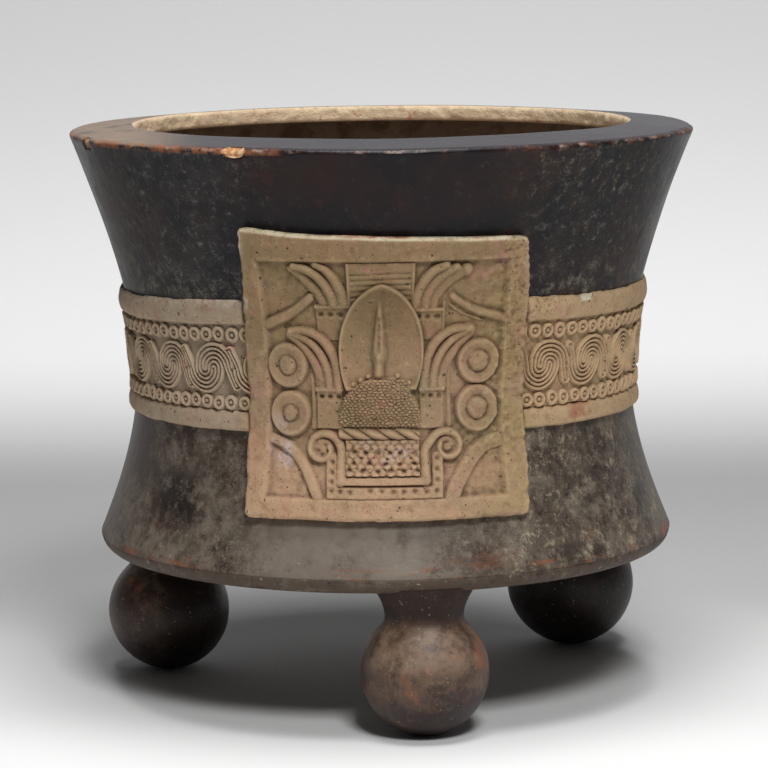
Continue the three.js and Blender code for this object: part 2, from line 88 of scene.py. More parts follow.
class ClayNoise:
    """Smooth random unevenness in space, the same on each run.

    Args:
        seed: The number that its lattice of values is drawn from.
    """

    CELLS = 32

    def __init__(self, seed: int) -> None:
        """Draw the lattice."""
        self.values = np.random.default_rng(seed).uniform(-1.0, 1.0, (self.CELLS,) * 3)

    def at(self, x: Array, y: Array, z: Array | float, size: float, octaves: int = 1) -> Array:
        """Sample the noise.

        Args:
            x, y, z: Places, in millimetres.
            size: How far apart the bumps are, in millimetres.
            octaves: How many finer layers are added, each half as large and half as high.

        Returns:
            Heights from about -1 to 1.
        """
        total = np.zeros(np.broadcast(x, y, z).shape)
        for octave in range(octaves):
            scale = 2.0 ** octave
            total += self._layer(x * scale / size, y * scale / size, z * scale / size) / scale
        return total

    def _layer(self, x: Array, y: Array, z: Array) -> Array:
        """One layer of the noise, eased between the lattice's values."""
        x, y, z = np.broadcast_arrays(x, y, z)
        cells, shares = [], []
        for axis in (x, y, z):
            cell = np.floor(axis)
            share = axis - cell
            cells.append(cell.astype(int))
            shares.append(share * share * (3 - 2 * share))
        total = np.zeros(x.shape)
        for corner in np.ndindex(2, 2, 2):
            index = tuple((cell + step) % self.CELLS for cell, step in zip(cells, corner))
            weight = np.ones(x.shape)
            for share, step in zip(shares, corner):
                weight = weight * (share if step else 1 - share)
            total += weight * self.values[index]
        return total


def ease(low: float, high: float, value: Array) -> Array:
    """0 below low, 1 above high, and a smooth step between."""
    t = np.clip((value - low) / (high - low), 0.0, 1.0)
    return t * t * (3 - 2 * t)


def bell(distance: Array, width: float) -> Array:
    """1 at no distance, fading to 0 over about twice the width."""
    return np.exp(-((distance / width) ** 2))


# The bowl's shape

@dataclass(frozen=True)
class BowlShape:
    """The bowl's outer curve, one hyperbola above the waist and one below it, with a potter's unevenness."""

    rim_radius: float
    base_radius: float
    rim_edge: float
    slab_top: float
    waist_radius: float = 112.0
    waist_above_slab: float = 70.0
    upper_bend: float = 80.0
    lower_bend: float = 60.0
    wall: float = 9.5
    # The height and size of the wall's long swells and of its short ones.
    swells: tuple[Point, Point] = ((0.45, 70.0), (0.22, 22.0))
    unevenness: ClayNoise = field(default_factory=lambda: ClayNoise(3))

    @property
    def waist(self) -> float:
        """The height of the narrowest place."""
        return self.slab_top + self.waist_above_slab

    def radius(self, z: Array) -> Array:
        """The outer radius at each height, as the CAD has it."""
        def flare(rise: float, reach: float, bend: float, t: Array) -> Array:
            """How far one hyperbola has come out at t."""
            return rise * (np.hypot(1, t / bend) - 1) / (math.hypot(1, reach / bend) - 1)
        narrow, waist = self.waist_radius, self.waist
        above = flare(self.rim_radius - narrow, self.rim_edge - waist, self.upper_bend, z - waist)
        below = flare(self.base_radius - narrow, self.waist_above_slab, self.lower_bend, waist - z)
        return narrow + np.where(z > waist, above, below)

    def drift(self, angle: Array, z: Array) -> Array:
        """How far the hand-built wall stands off the true curve."""
        (long_height, long_size), (short_height, short_size) = self.swells
        x, y = 100 * np.cos(angle), 100 * np.sin(angle)
        swell = long_height * self.unevenness.at(x, y, z, long_size)
        return swell + short_height * self.unevenness.at(x, y, z + 300, short_size)

    def surface(self, angle: Array, z: Array) -> Array:
        """The outer radius of the real, slightly uneven wall."""
        return self.radius(z) + self.drift(angle, z)


def bowl_from_frame() -> BowlShape:
    """The bowl's shape, with its outer sizes read from the CAD nodes."""
    rim_low, rim_high = cad_box("rim_ring")
    _, slab_high = cad_box("floor_slab")
    wall_low, _ = cad_box("vessel_wall")
    return BowlShape(
        rim_radius=rim_high.x,
        base_radius=slab_high.x,
        rim_edge=rim_low.z + RIM_CORNER,
        slab_top=wall_low.z - JOINT,
    )


# Meshes

def read_points(mesh: bpy.types.Mesh) -> Array:
    """The mesh's vertices as an array of one row each."""
    points = np.empty(len(mesh.vertices) * 3, np.float32)
    mesh.vertices.foreach_get("co", points)
    return points.reshape(-1, 3).astype(float)


def write_points(mesh: bpy.types.Mesh, points: Array) -> None:
    """Put new places into the mesh's vertices."""
    mesh.vertices.foreach_set("co", points.astype(np.float32).ravel())
    mesh.update()


def write_attribute(mesh: bpy.types.Mesh, name: str, values: Array) -> None:
    """Store one number for each vertex under a name that the finishes read."""
    attribute = mesh.attributes.get(name) or mesh.attributes.new(name, "FLOAT", "POINT")
    attribute.data.foreach_set("value", values.astype(np.float32))


def add_piece(node: str, mesh: bpy.types.Mesh, material: bpy.types.Material) -> bpy.types.Object:
    """Make a finished mesh the piece that stands for a CAD node.

    Args:
        node: The CAD node.
        mesh: The mesh, in metres and in place.
        material: Its finish.

    Returns:
        The new object, riding on the body.
    """
    name = f"clay_{node}"
    mesh.name = name
    mesh.polygons.foreach_set("use_smooth", [True] * len(mesh.polygons))
    mesh.set_sharp_from_angle(angle=SHARP)
    mesh.materials.append(material)
    piece = bpy.data.objects.new(name, mesh)
    bpy.context.scene.collection.objects.link(piece)
    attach(piece, "root")
    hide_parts(node)
    LOG.info("%s: %d faces", name, len(mesh.polygons))
    return piece


@dataclass(frozen=True)
class Window:
    """A stretch of the unrolled wall: two arc lengths, two heights, and how finely it is drawn."""

    left: float
    right: float
    bottom: float
    top: float
    pitch: float

    @property
    def columns(self) -> int:
        """How many cells lie side by side."""
        return round((self.right - self.left) / self.pitch)

    @property
    def rows(self) -> int:
        """How many cells lie over each other."""
        return round((self.top - self.bottom) / self.pitch)

    def lattice(self) -> tuple[Array, Array]:
        """The arc lengths and heights of the lattice's points, as two grids."""
        across = np.linspace(self.left, self.right, self.columns + 1)
        up = np.linspace(self.bottom, self.top, self.rows + 1)
        return np.meshgrid(across, up)


@dataclass(frozen=True)
class Layer:
    """Clay over a window of the unrolled wall.

    Args:
        window: The stretch that it covers.
        depth: Its height over the wall at each point of the window's lattice.
        floor: At and below this depth there is no clay.
        back: The depth of its hidden back.
        cavity: Under 0 where dirt gathers and over 0 where hands rub, at each point.
        outline: Over 0 inside its outline and under 0 outside, where it has a sharp one.
        worn: 1 where it is rubbed through, at each point.
    """

    window: Window
    depth: Array
    floor: float
    back: float
    cavity: Array
    outline: Array | None = None
    worn: Array | None = None

    # The hidden back is cut into tiles of this size, so that it can follow the wall.
    TILE = 9.0

    def mesh(self) -> bpy.types.Mesh:
        """Build the flat, closed mesh: arc length on X, height on Y and depth on Z."""
        mesh = bpy.data.meshes.new("layer")
        bm = bmesh.new()
        bmesh.ops.create_grid(bm, x_segments=self.window.columns, y_segments=self.window.rows, size=0.5)
        bm.to_mesh(mesh)
        self._raise(mesh)
        bm.clear()
        bm.from_mesh(mesh)
        self._trim(bm)
        self._close(bm)
        bm.to_mesh(mesh)
        bm.free()
        return mesh

    def _raise(self, mesh: bpy.types.Mesh) -> None:
        """Give the grid's points their places, and pull those beside the outline onto it."""
        points = read_points(mesh)
        column = np.rint((points[:, 0] + 0.5) * self.window.columns).astype(int)
        row = np.rint((points[:, 1] + 0.5) * self.window.rows).astype(int)
        across, up = self.window.lattice()
        s, z = across[row, column], up[row, column]
        if self.outline is not None:
            slope_up, slope_across = np.gradient(self.outline, up[:, 0], across[0])
            steep = np.maximum(np.hypot(slope_up, slope_across), 0.3)[row, column]
            inside = self.outline[row, column]
            near = np.abs(inside / steep) < self.window.pitch * 0.55
            s = np.where(near, s - inside * slope_across[row, column] / steep ** 2, s)
            z = np.where(near, z - inside * slope_up[row, column] / steep ** 2, z)
            write_attribute(mesh, "inside", np.where(near, 0.0, inside))
        write_points(mesh, np.stack([s, z, self.depth[row, column]], 1))
        write_attribute(mesh, "cavity", self.cavity[row, column])
        write_attribute(mesh, "worn", np.zeros(len(row)) if self.worn is None else self.worn[row, column])

    def _trim(self, bm: bmesh.types.BMesh) -> None:
        """Take away the cells that hold no clay."""
        if self.outline is not None:
            inside = bm.verts.layers.float["inside"]
            empty = [face for face in bm.faces if any(vert[inside] < -1e-6 for vert in face.verts)]
        else:
            level = self.floor + 1e-6
            empty = [face for face in bm.faces if all(vert.co.z <= level for vert in face.verts)]
        bmesh.ops.delete(bm, geom=empty, context="FACES")
        while True:
            pinched = [v for v in bm.verts if sum(edge.is_boundary for edge in v.link_edges) > 2]
            if not pinched:
                break
            spare = list(dict.fromkeys(vert.link_faces[0] for vert in pinched))
            bmesh.ops.delete(bm, geom=spare, context="FACES")
        loose = [vert for vert in bm.verts if not vert.link_faces]
        bmesh.ops.delete(bm, geom=loose, context="VERTS")

    def _close(self, bm: bmesh.types.BMesh) -> None:
        """Draw the edges down to the back, and close the back in strips that can follow the wall."""
        rim = [edge for edge in bm.edges if edge.is_boundary]
        grown = bmesh.ops.extrude_edge_only(bm, edges=rim)["geom"]
        for vert in grown:
            if isinstance(vert, bmesh.types.BMVert):
                vert.co.z = self.back
        lower = [edge for edge in grown if isinstance(edge, bmesh.types.BMEdge) and edge.is_boundary]
        back = bmesh.ops.holes_fill(bm, edges=lower, sides=0)["faces"]
        window = self.window
        sides = (((1, 0, 0), window.left, window.right), ((0, 1, 0), window.bottom, window.top))
        for normal, first, last in sides:
            back = self._cut(bm, back, normal, np.arange(first + self.TILE, last, self.TILE))
        bmesh.ops.recalc_face_normals(bm, faces=bm.faces[:])

    def _cut(
        self,
        bm: bmesh.types.BMesh,
        faces: list[bmesh.types.BMFace],
        normal: tuple[int, int, int],
        places: Array,
    ) -> list[bmesh.types.BMFace]:
        """Cut flat faces at these places along a normal, and return all their parts."""
        for place in places:
            # A dict keeps its order, so that each run cuts in the same one.
            edges = dict.fromkeys(edge for face in faces for edge in face.edges)
            verts = dict.fromkeys(vert for face in faces for vert in face.verts)
            parts = [*faces, *edges, *verts]
            point = [place * component for component in normal]
            result = bmesh.ops.bisect_plane(bm, geom=parts, dist=1e-4, plane_co=point, plane_no=normal)
            faces = [part for part in result["geom"] if isinstance(part, bmesh.types.BMFace)]
        return faces


def bend_onto(mesh: bpy.types.Mesh, bowl: BowlShape, turn: float = 0.0) -> None:
    """Roll a flat mesh onto the bowl's wall.

    Args:
        mesh: Arc length, height and depth on its X, Y and Z, in millimetres.
        bowl: The bowl that it lies on.
        turn: How far round the axis it is carried, in radians.
    """
    flat = read_points(mesh)
    angle = flat[:, 0] / ARC_RADIUS + turn
    radius = bowl.surface(angle, flat[:, 1]) + flat[:, 2]
    write_points(mesh, MM * np.stack([radius * np.sin(angle), -radius * np.cos(angle), flat[:, 1]], 1))


def blurred(values: Array, cells: int) -> Array:
    """The values averaged over a square of this many cells each way from each point, twice."""
    for _ in range(2):
        for axis in (0, 1):
            padded = np.pad(values, [(cells, cells) if a == axis else (0, 0) for a in (0, 1)], mode="edge")
            sums = np.cumsum(np.insert(padded, 0, 0.0, axis=axis), axis=axis)
            size = values.shape[axis]
            high = np.take(sums, range(2 * cells + 1, 2 * cells + 1 + size), axis=axis)
            low = np.take(sums, range(size), axis=axis)
            values = (high - low) / (2 * cells + 1)
    return values


def cavity_of(depth: Array, pitch: float, reach: float = 1.6) -> Array:
    """How far each point stands over its surroundings, in millimetres."""
    return depth - blurred(depth, max(round(reach / pitch), 1))


# Ways of drawing relief

# A form's height where it has no clay, safely under the field that it lies on.
SUNK = -0.7


def slabbed(inside: Array, height: float | Array, soft: float = 0.7) -> Array:
    """A flat-topped form whose edge lies where inside is 0, with a soft foot and shoulder."""
    return SUNK + (height - SUNK) * ease(-soft, soft, inside)


def rounded(distance: Array, half: float | Array, height: float | Array, flatness: float = 0.7) -> Array:
    """A ridge with a round back, of this half width, along a line at no distance; less is flatter."""
    return SUNK + (height - SUNK) * np.clip(1 - (distance / half) ** 2, 0, 1) ** flatness


def edge_drop(inside: Array, radius: float) -> Array:
    """How far a rounded edge of this radius has fallen at each point, given how far inside it lies."""
    out = np.clip(inside, 0, radius)
    return radius - np.sqrt(np.maximum(radius ** 2 - (radius - out) ** 2, 0))


def box_inside(s: Array, z: Array, left: float, right: float, bottom: float, top: float) -> Array:
    """How far inside a rectangle each point lies."""
    return np.minimum(np.minimum(s - left, right - s), np.minimum(z - bottom, top - z))


class Stroke:
    """A smooth line through a few points of the motif, wider at one end than at the other.

    Args:
        points: The places that it passes through, as arc length and height.
        start: Its half width where it starts.
        end: Its half width where it ends.
    """

    STEPS = 7

    def __init__(self, points: Sequence[Point], start: float, end: float | None = None) -> None:
        """Draw the line as short straight steps."""
        self.start, self.end = start, start if end is None else end
        fixed = np.array([points[0], *points, points[-1]], float)
        steps = np.linspace(0, 1, self.STEPS, endpoint=False)[:, None]
        path = []
        for a, b, c, d in zip(fixed, fixed[1:], fixed[2:], fixed[3:]):
            path.append(0.5 * (2 * b + (c - a) * steps + (2 * a - 5 * b + 4 * c - d) * steps ** 2
                               + (3 * b - a - 3 * c + d) * steps ** 3))
        self.path = np.vstack([*path, fixed[-1:]])

    def nearest(self, s: Array, z: Array) -> tuple[Array, Array]:
        """How far each point lies from the line, and where along it, from 0 to 1."""
        best = np.full(s.shape, np.inf)
        along = np.zeros(s.shape)
        lengths = np.hypot(*np.diff(self.path, axis=0).T)
        total, passed = lengths.sum(), 0.0
        for (a, b), length in zip(zip(self.path, self.path[1:]), lengths):
            direction = (b - a) / length
            t = np.clip((s - a[0]) * direction[0] + (z - a[1]) * direction[1], 0, length)
            distance = np.hypot(s - a[0] - t * direction[0], z - a[1] - t * direction[1])
            closer = distance < best
            best = np.where(closer, distance, best)
            along = np.where(closer, (passed + t) / total, along)
            passed += length
        return best, along

    def ridge(self, s: Array, z: Array, height: float, flatness: float = 0.7) -> Array:
        """A round-backed ridge along the line."""
        distance, along = self.nearest(s, z)
        return rounded(distance, self.start + (self.end - self.start) * along, height, flatness)

    def band(self, s: Array, z: Array, height: float, soft: float = 0.7) -> Array:
        """A flat-topped band along the line, slightly crowned."""
        distance, along = self.nearest(s, z)
        half = self.start + (self.end - self.start) * along
        crown = 0.5 * np.clip(1 - (distance / half) ** 2, 0, 1)
        return slabbed(half - distance, height - 0.5, soft) + crown

    def groove(self, s: Array, z: Array, depth: float) -> Array:
        """How far a groove along the line goes down."""
        distance, along = self.nearest(s, z)
        return depth * bell(distance, self.start + (self.end - self.start) * along)


def mirrored(points: Sequence[Point], middle: float = -0.4) -> list[Point]:
    """The same points on the other side of the motif's middle line."""
    return [(2 * middle - s, z) for s, z in points]


# The moulded panel

@dataclass(frozen=True)
class Disc:
    """A round ear disc: a rounded ring that dips towards a domed boss, with a groove between them."""

    centre: Point
    radius: Point
    boss: float
    hook: float = 0.0
    height: float = 2.5

    def relief(self, s: Array, z: Array) -> Array:
        """The disc's height over the panel's field."""
        mean = sum(self.radius) / 2
        x, y = (s - self.centre[0]) / self.radius[0], (z - self.centre[1]) / self.radius[1]
        r = np.hypot(x, y) * mean
        angle = np.arctan2(y, x)
        form = slabbed(mean - 0.5 - r, self.height, 0.9)
        dish = ease(mean - 1.6, self.boss, r)
        form = form - 0.75 * dish + 1.0 * np.clip(1 - (r / self.boss) ** 2, 0, 1) ** 0.6
        shut = 1 - self.hook * bell(angle - 2.4, 0.8) - 0.45 * bell(angle - 1.6, 0.9) * (self.hook < 0.5)
        return form - 0.7 * bell(r - self.boss - 0.1, 0.65) * shut


@dataclass(frozen=True)
class HoleRow:
    """A row of pricked holes: where it starts, its height, the distance between holes, and their radius."""

    start: float
    level: float
    pitch: float
    count: int
    radius: float = 1.2
    depth: float = 1.5

    def cut(self, s: Array, z: Array, jitter: Array) -> Array:
        """How far the holes go down, with the small lip that the point pushed up under each of them."""
        down = np.zeros(s.shape)
        for number in range(self.count):
            shift_s, shift_z = jitter[number % len(jitter)]
            x = s - self.start - number * self.pitch - shift_s
            y = z - self.level - shift_z
            down = down + self.depth * bell(np.hypot(x, y), self.radius * 0.9)
            down = down - 0.5 * bell(np.hypot(x, y + 1.4 * self.radius), self.radius * 0.7)
        return down


@dataclass
class Motif:
    """The panel's motif as the mould left it, in arc lengths from the panel's middle and heights."""

    grain: ClayNoise = field(default_factory=lambda: ClayNoise(11))
    jitter: Array = field(default_factory=lambda: np.random.default_rng(8).uniform(-0.4, 0.4, (24, 2)))

    def blade_inside(self, s: Array, z: Array) -> Array:
        """How far inside the blade's outline each point lies."""
        middle, widest, tip, half_width = -1.0, 166.0, 195.9, 17.7
        up = np.clip((z - widest) / (tip - widest), 0, 1)
        above = half_width * np.maximum(1 - up ** 2.15, 0) ** 0.62
        below = half_width - 0.011 * np.maximum(widest - z, 0) ** 2
        half = np.where(z > widest, above, below)
        lean = np.abs(np.gradient(half, z[:, 0], axis=0))
        inside = np.minimum((half - np.abs(s - middle - 0.015 * (z - widest))) / np.hypot(1, lean), z - 150.0)
        return np.where(z > tip, tip - z, inside)

    def blade(self, s: Array, z: Array) -> Array:
        """The pointed blade: a thin raised edge, a hollow face and a spear up its middle."""
        inside = self.blade_inside(s, z)
        dish = (1 - (1 - np.clip((inside - 0.6) / 14.0, 0, 1)) ** 2) * (1 - 0.8 * ease(180, 153, z))
        form = slabbed(inside, 3.1 - 3.6 * dish, 0.6) + 0.75 * bell(inside - 1.0, 0.7)
        spear_middle = -1.5 - 0.022 * (187 - z)
        spear_half = 1.0 + 0.11 * np.clip(187 - z, 0, 21) - 0.8 * ease(164, 161, z)
        x = (s - spear_middle) / spear_half
        spear = 2.9 * np.clip(1 - np.abs(x) ** 1.7, 0, 1) * ease(190, 179, z) * ease(154.5, 157.5, z)
        rough = 1 + 0.35 * self.grain.at(s, z, 5.0, 1.6)
        hollow = 1.5 * rough * bell(s - spear_middle + 0.2, 0.8) * ease(183, 180, z) * ease(165.5, 167.5, z)
        bead = 1.0 * bell(np.hypot(s - spear_middle + 0.2, z - 164.3), 1.2)
        return form + np.where(inside > 0.5, spear - hollow + bead, 0)

    def dome(self, s: Array, z: Array) -> Array:
        """The mound under the blade, stippled all over, with loose pellets on its shoulders."""
        middle, half, foot, top, roundness = -2.0, 18.1, 133.7, 155.6, 2.2
        up = np.clip((z - foot) / (top - foot), 0, 1)
        width = half * np.maximum(1 - up ** roundness, 0) ** (1 / roundness)
        lean = np.clip(up ** 2 * 1.6, 0, 3)
        inside = np.minimum((width - np.abs(s - middle)) / np.hypot(1, lean), np.minimum(z - foot, top - z))
        crown = 1.8 + 3.0 * np.clip(1 - ((s - middle) / half) ** 2, 0, 1) * ease(foot - 2, foot + 9, z)
        form = slabbed(inside, crown, 1.6)
        form = form + np.where(inside > -0.1, self._stipple(s, z), 0)
        heap = slabbed(8.5 - np.hypot((s - 2.5) * 0.85, (z - 151.0) * 1.5), 3.7, 2.6) + self._stipple(s, z)
        form = np.maximum(form, heap)
        for place, level in ((-9.6, 154.6), (-6.4, 156.2), (-12.6, 152.9), (10.4, 153.4), (5.6, 156.4)):
            form = np.maximum(form, rounded(np.hypot(s - place, z - level), 1.6, 4.5, 0.5))
        ring = np.hypot(s + 14.6, z - 151.6)
        return np.maximum(form, rounded(ring, 2.3, 4.0, 0.5) - 2.0 * bell(ring, 0.7))

    def _stipple(self, s: Array, z: Array, across: float = 1.9, up: float = 1.2) -> Array:
        """Small crowded lumps with pits between them, wider than they are high."""
        scatter = np.random.default_rng(5).uniform(-0.38, 0.38, (64, 64, 2))
        x, y = s / across, z / up
        column, row = np.floor(x).astype(int), np.floor(y).astype(int)
        nearest, second = np.full(s.shape, np.inf), np.full(s.shape, np.inf)
        for step_x in (-1, 0, 1):
            for step_y in (-1, 0, 1):
                offset = scatter[(column + step_x) % 64, (row + step_y) % 64]
                lump_x = column + step_x + 0.5 * ((row + step_y) % 2) + 0.25 + offset[..., 0]
                lump_y = row + step_y + 0.5 + offset[..., 1]
                distance = np.hypot(x - lump_x, y - lump_y)
                second = np.minimum(second, np.maximum(nearest, distance))
                nearest = np.minimum(nearest, distance)
        return 1.1 * (np.clip((second - nearest) * 1.7, 0, 1) ** 0.7 - 0.6)

    def rope(self, s: Array, z: Array) -> Array:
        """The twisted rope under the mound."""
        middle = 131.4 - 0.010 * (s + 2) - 1.3 * ease(9, 17, s)
        half = 2.9 * (1 - 0.25 * ease(10, 16, s))
        ends = np.minimum(s + 20.2, 15.8 - s)
        body = np.clip(1 - ((z - middle) / half) ** 2, 0, 1) ** 0.6
        strand = np.abs(np.sin(math.pi * (s + 1.55 * (z - middle) + 0.6) / 7.4)) ** 0.5
        form = SUNK + (3.4 * (0.3 + 0.7 * strand) - SUNK) * body
        fade = ease(0, 1.5, ends)
        return form * fade + SUNK * (1 - fade)

    NET_HOLES = (
        HoleRow(-12.8, 123.3, 4.95, 6), HoleRow(-12.6, 118.9, 6.3, 5, 1.0), HoleRow(-14.4, 115.9, 5.6, 6),
        HoleRow(-10.2, 124.9, 5.1, 5, 0.6, 0.9), HoleRow(-9.6, 121.0, 5.2, 5, 0.6, 0.9),
        HoleRow(-11.6, 116.6, 5.7, 5, 0.6, 0.8),
    )

    def bead_block(self, s: Array, z: Array) -> Array:
        """The netted block under the rope: crowded beads with pricked holes between them."""
        inside = box_inside(s, z, -16.4, 14.8, 113.5, 128.9)
        form = slabbed(inside, 1.3, 0.6)
        beads = np.full(s.shape, -1.0)
        for row in range(6):
            for column in range(-5, 6):
                shift_s, shift_z = self.jitter[(row * 7 + column) % len(self.jitter)]
                middle = (column + 0.5 * (row % 2)) * 3.5 - 0.8 + shift_s
                distance = np.hypot(s - middle, z - 114.6 - row * 2.75 - shift_z)
                beads = np.maximum(beads, 1 - (distance / 1.7) ** 2)
        holes = sum(row.cut(s, z, self.jitter) for row in self.NET_HOLES)
        return form + np.where(inside > 0.2, 1.15 * np.maximum(beads, 0) ** 0.8 - 1.15 * holes, 0)

    RIM_HOLES = (
        HoleRow(-21.9, 107.2, 3.6, 3), HoleRow(-6.0, 107.4, 4.6, 6), HoleRow(21.3, 106.9, 4.0, 1),
    )

    def scroll_bowl(self, s: Array, z: Array) -> Array:
        """The bowl that holds the block: a plain inner band, a pricked outer one, and rolled ends."""
        form = np.full(s.shape, SUNK)
        for side in (-1, 1):
            eye_s, eye_z = (26.4, 125.6) if side > 0 else (-26.0, 125.0)
            reach = 16.9 if side > 0 else 18.1
            curl = [(side * reach, 111.6), (side * reach, 118.0), (side * reach, 124.0)]
            for step in range(11):
                turn = math.radians(158 - 36 * step)
                radius = 7.2 - 0.42 * step
                curl.append((eye_s + side * radius * math.cos(turn), eye_z + radius * math.sin(turn)))
            form = np.maximum(form, Stroke(curl, 2.5, 1.35).ridge(s, z, 2.7, 0.5))
            form = np.maximum(form, slabbed(4.6 - np.hypot(s - eye_s, z - eye_z), 1.1, 0.7))
            outer = Stroke([(side * 22.2, 121.2), (side * 21.9, 113.5), (side * 21.5, 107.0)], 2.5)
            form = np.maximum(form, outer.band(s, z, 1.9))
        form = np.maximum(form, slabbed(box_inside(s, z, -18.9, 18.2, 109.9, 113.4), 2.35, 0.6))
        form = np.maximum(form, slabbed(box_inside(s, z, -24.0, 23.8, 104.0, 109.4), 1.85, 0.8))
        holes = sum(row.cut(s, z, self.jitter) for row in self.RIM_HOLES)
        for side, start, pitch in ((-1, 111.4, 4.0), (1, 112.0, 4.3)):
            upright = HoleRow(start, -side * 21.8, pitch, 3)
            holes = holes + upright.cut(z, -s, 0.5 * self.jitter)
        for place, level in ((-28.0, 124.2), (-25.2, 126.6), (-26.4, 122.6), (-23.9, 124.2)):
            holes = holes + 0.9 * bell(np.hypot(s - place, z - level), 0.6)
        hook = np.hypot(s - 26.6, z - 125.2)
        around = np.arctan2(z - 125.2, s - 26.6)
        holes = holes + 1.2 * bell(hook - 2.1, 0.6) * (1 - bell(around - 0.6, 0.8))
        return form - np.where(form > 0.3, holes, 0)

    def top_bars(self, s: Array, z: Array) -> Array:
        """The bars over the blade's point, one broad and then narrow ones, between two thin uprights."""
        edge = box_inside(s, z, -13.3, 11.5, 186.0, 205.2)
        wave = 0.2 * self.grain.at(s, z, 0.0, 8.0, 2)
        form = slabbed(edge, 1.35, 0.5)
        steps = np.abs(np.sin(math.pi * (z + wave - 0.02 * s - 200.0) / 2.42)) ** 0.7
        form = form - np.where((z < 200.9) & (edge > 0.5), 0.8 * (1 - steps), 0)
        uprights = np.minimum(np.abs(s + 13.6), np.abs(s - 11.8))
        form = np.maximum(form, np.where((z > 184.5) & (z < 205.0), rounded(uprights, 1.0, 2.0), SUNK))
        return np.where(self.blade_inside(s, z) > 0.4, SUNK, form)

    def _with_plume(
        self, form: Array, s: Array, z: Array, strands: Sequence[tuple[list[Point], float, float, float]]
    ) -> Array:
        """A form with a plume over it, given strand by strand."""
        for points, start, end, height in strands:
            form = np.maximum(form, Stroke(points, start, end).ridge(s, z, height, 0.45))
        return form

    # The plumes' strands: their points, first and last half width, and height. The lower one is the left one,
    # and its mirror image stands on the right.
    LOWER_PLUME = (
        ([(-19.1, 151), (-19.4, 158), (-21.2, 165.3), (-26.0, 172.2), (-32.4, 175.3), (-38.6, 174.9)],
         2.7, 2.0, 2.7),
        ([(-22.9, 151), (-23.6, 158), (-25.8, 164.2), (-30.0, 169.9), (-35.2, 173.0), (-39.2, 174.1)],
         2.4, 1.7, 2.4),
        ([(-26.4, 151), (-27.4, 157.5), (-29.8, 162.8), (-33.2, 167.6), (-37.0, 171.4), (-39.4, 173.4)],
         2.7, 1.8, 1.7),
    )
    UPPER_PLUMES = {
        -1: (
            ([(-20.0, 187.5), (-21.0, 191.5), (-24.2, 197.2), (-29.0, 201.6), (-34.6, 203.4)], 2.5, 1.9, 2.9),
            ([(-23.6, 187.5), (-25.4, 191.2), (-29.2, 196.2), (-32.6, 199.8), (-36.0, 202.4)], 2.9, 1.8, 1.6),
            ([(-16.0, 187.5), (-16.8, 191.5), (-19.0, 197.0), (-22.4, 202.0), (-26.2, 204.2)], 2.9, 1.8, 2.3),
        ),
        1: (
            ([(13.0, 186.0), (13.6, 190.5), (16.0, 196.0), (19.8, 200.8), (24.4, 203.4)], 2.5, 2.2, 2.7),
            ([(16.9, 185.6), (17.4, 189.5), (19.6, 194.4), (23.6, 199.0), (28.6, 202.2)], 2.5, 2.2, 2.3),
            ([(20.2, 185.4), (20.8, 189.0), (22.9, 193.0), (26.6, 197.2), (31.0, 200.4)], 2.4, 2.6, 1.5),
        ),
    }

    def lower_crest(self, s: Array, z: Array, side: int) -> Array:
        """The block beside the mound, with a row of holes, and the plume that rises from its ledge."""
        if side < 0:
            left, right, holes = -28.8, -17.6, HoleRow(-26.4, 147.0, 3.6, 3, 1.15)
        else:
            left, right, holes = 14.9, 25.6, HoleRow(16.4, 147.1, 3.5, 3, 1.1)
        form = slabbed(box_inside(s, z, left, right, 133.2, 150.6), 1.3, 0.6)
        ledge = box_inside(s, z, left - 0.4, right + 0.4, 149.2, 151.1)
        form = np.maximum(form, slabbed(ledge, 2.3, 0.5))
        form = form - np.where(form > 0.2, 1.3 * holes.cut(s, z, 0.4 * self.jitter), 0)
        strands = self.LOWER_PLUME
        if side > 0:
            strands = [
                ([(place - 1.4, level + 0.4) for place, level in mirrored(points)], *rest)
                for points, *rest in strands
            ]
        form = self._with_plume(form, s, z, strands)
        if side > 0:
            form = np.maximum(form, rounded(np.hypot(s - 35.4, (z - 175.4) * 1.2), 3.6, 2.9))
        border = [(-30.2, 134.0), (-30.2, 148.0), (-30.8, 156.0)]
        if side > 0:
            border = [(27.8, 134.5), (27.6, 148.0), (27.4, 156.0), (28.8, 162.0)]
        return np.maximum(form, Stroke(border, 1.6, 1.1).ridge(s, z, 0.8))

    def upper_crest(self, s: Array, z: Array, side: int) -> Array:
        """The block beside the blade's point, with its row of holes, and the plume that curls out over it."""
        if side < 0:
            left, right, top, holes = -27.6, -13.2, 186.4, HoleRow(-25.4, 182.6, 4.0, 3, 1.15)
        else:
            left, right, top, holes = 10.4, 24.2, 184.8, HoleRow(14.2, 181.3, 3.9, 3, 1.15)
        form = slabbed(box_inside(s, z, left, right, 171.0, top), 1.2, 0.6) - 0.7 * ease(179, 172, z)
        ledge = box_inside(s, z, left - 0.3, right + 0.3, top - 1.3, top + 0.4)
        form = np.maximum(form, slabbed(ledge, 2.1, 0.5))
        form = form - np.where(form > 0.2, 1.3 * holes.cut(s, z, 0.4 * self.jitter), 0)
        if side > 0:
            upright = Stroke([(24.4, 172.0), (24.6, 180.0), (24.5, 187.5)], 1.0)
            form = np.maximum(form, upright.ridge(s, z, 1.4))
            form = np.maximum(form, rounded(np.hypot(s - 33.0, (z - 201.4) * 0.9), 2.8, 2.6))
        form = self._with_plume(form, s, z, self.UPPER_PLUMES[side])
        return np.where(self.blade_inside(s, z) > 0.4, SUNK, form)

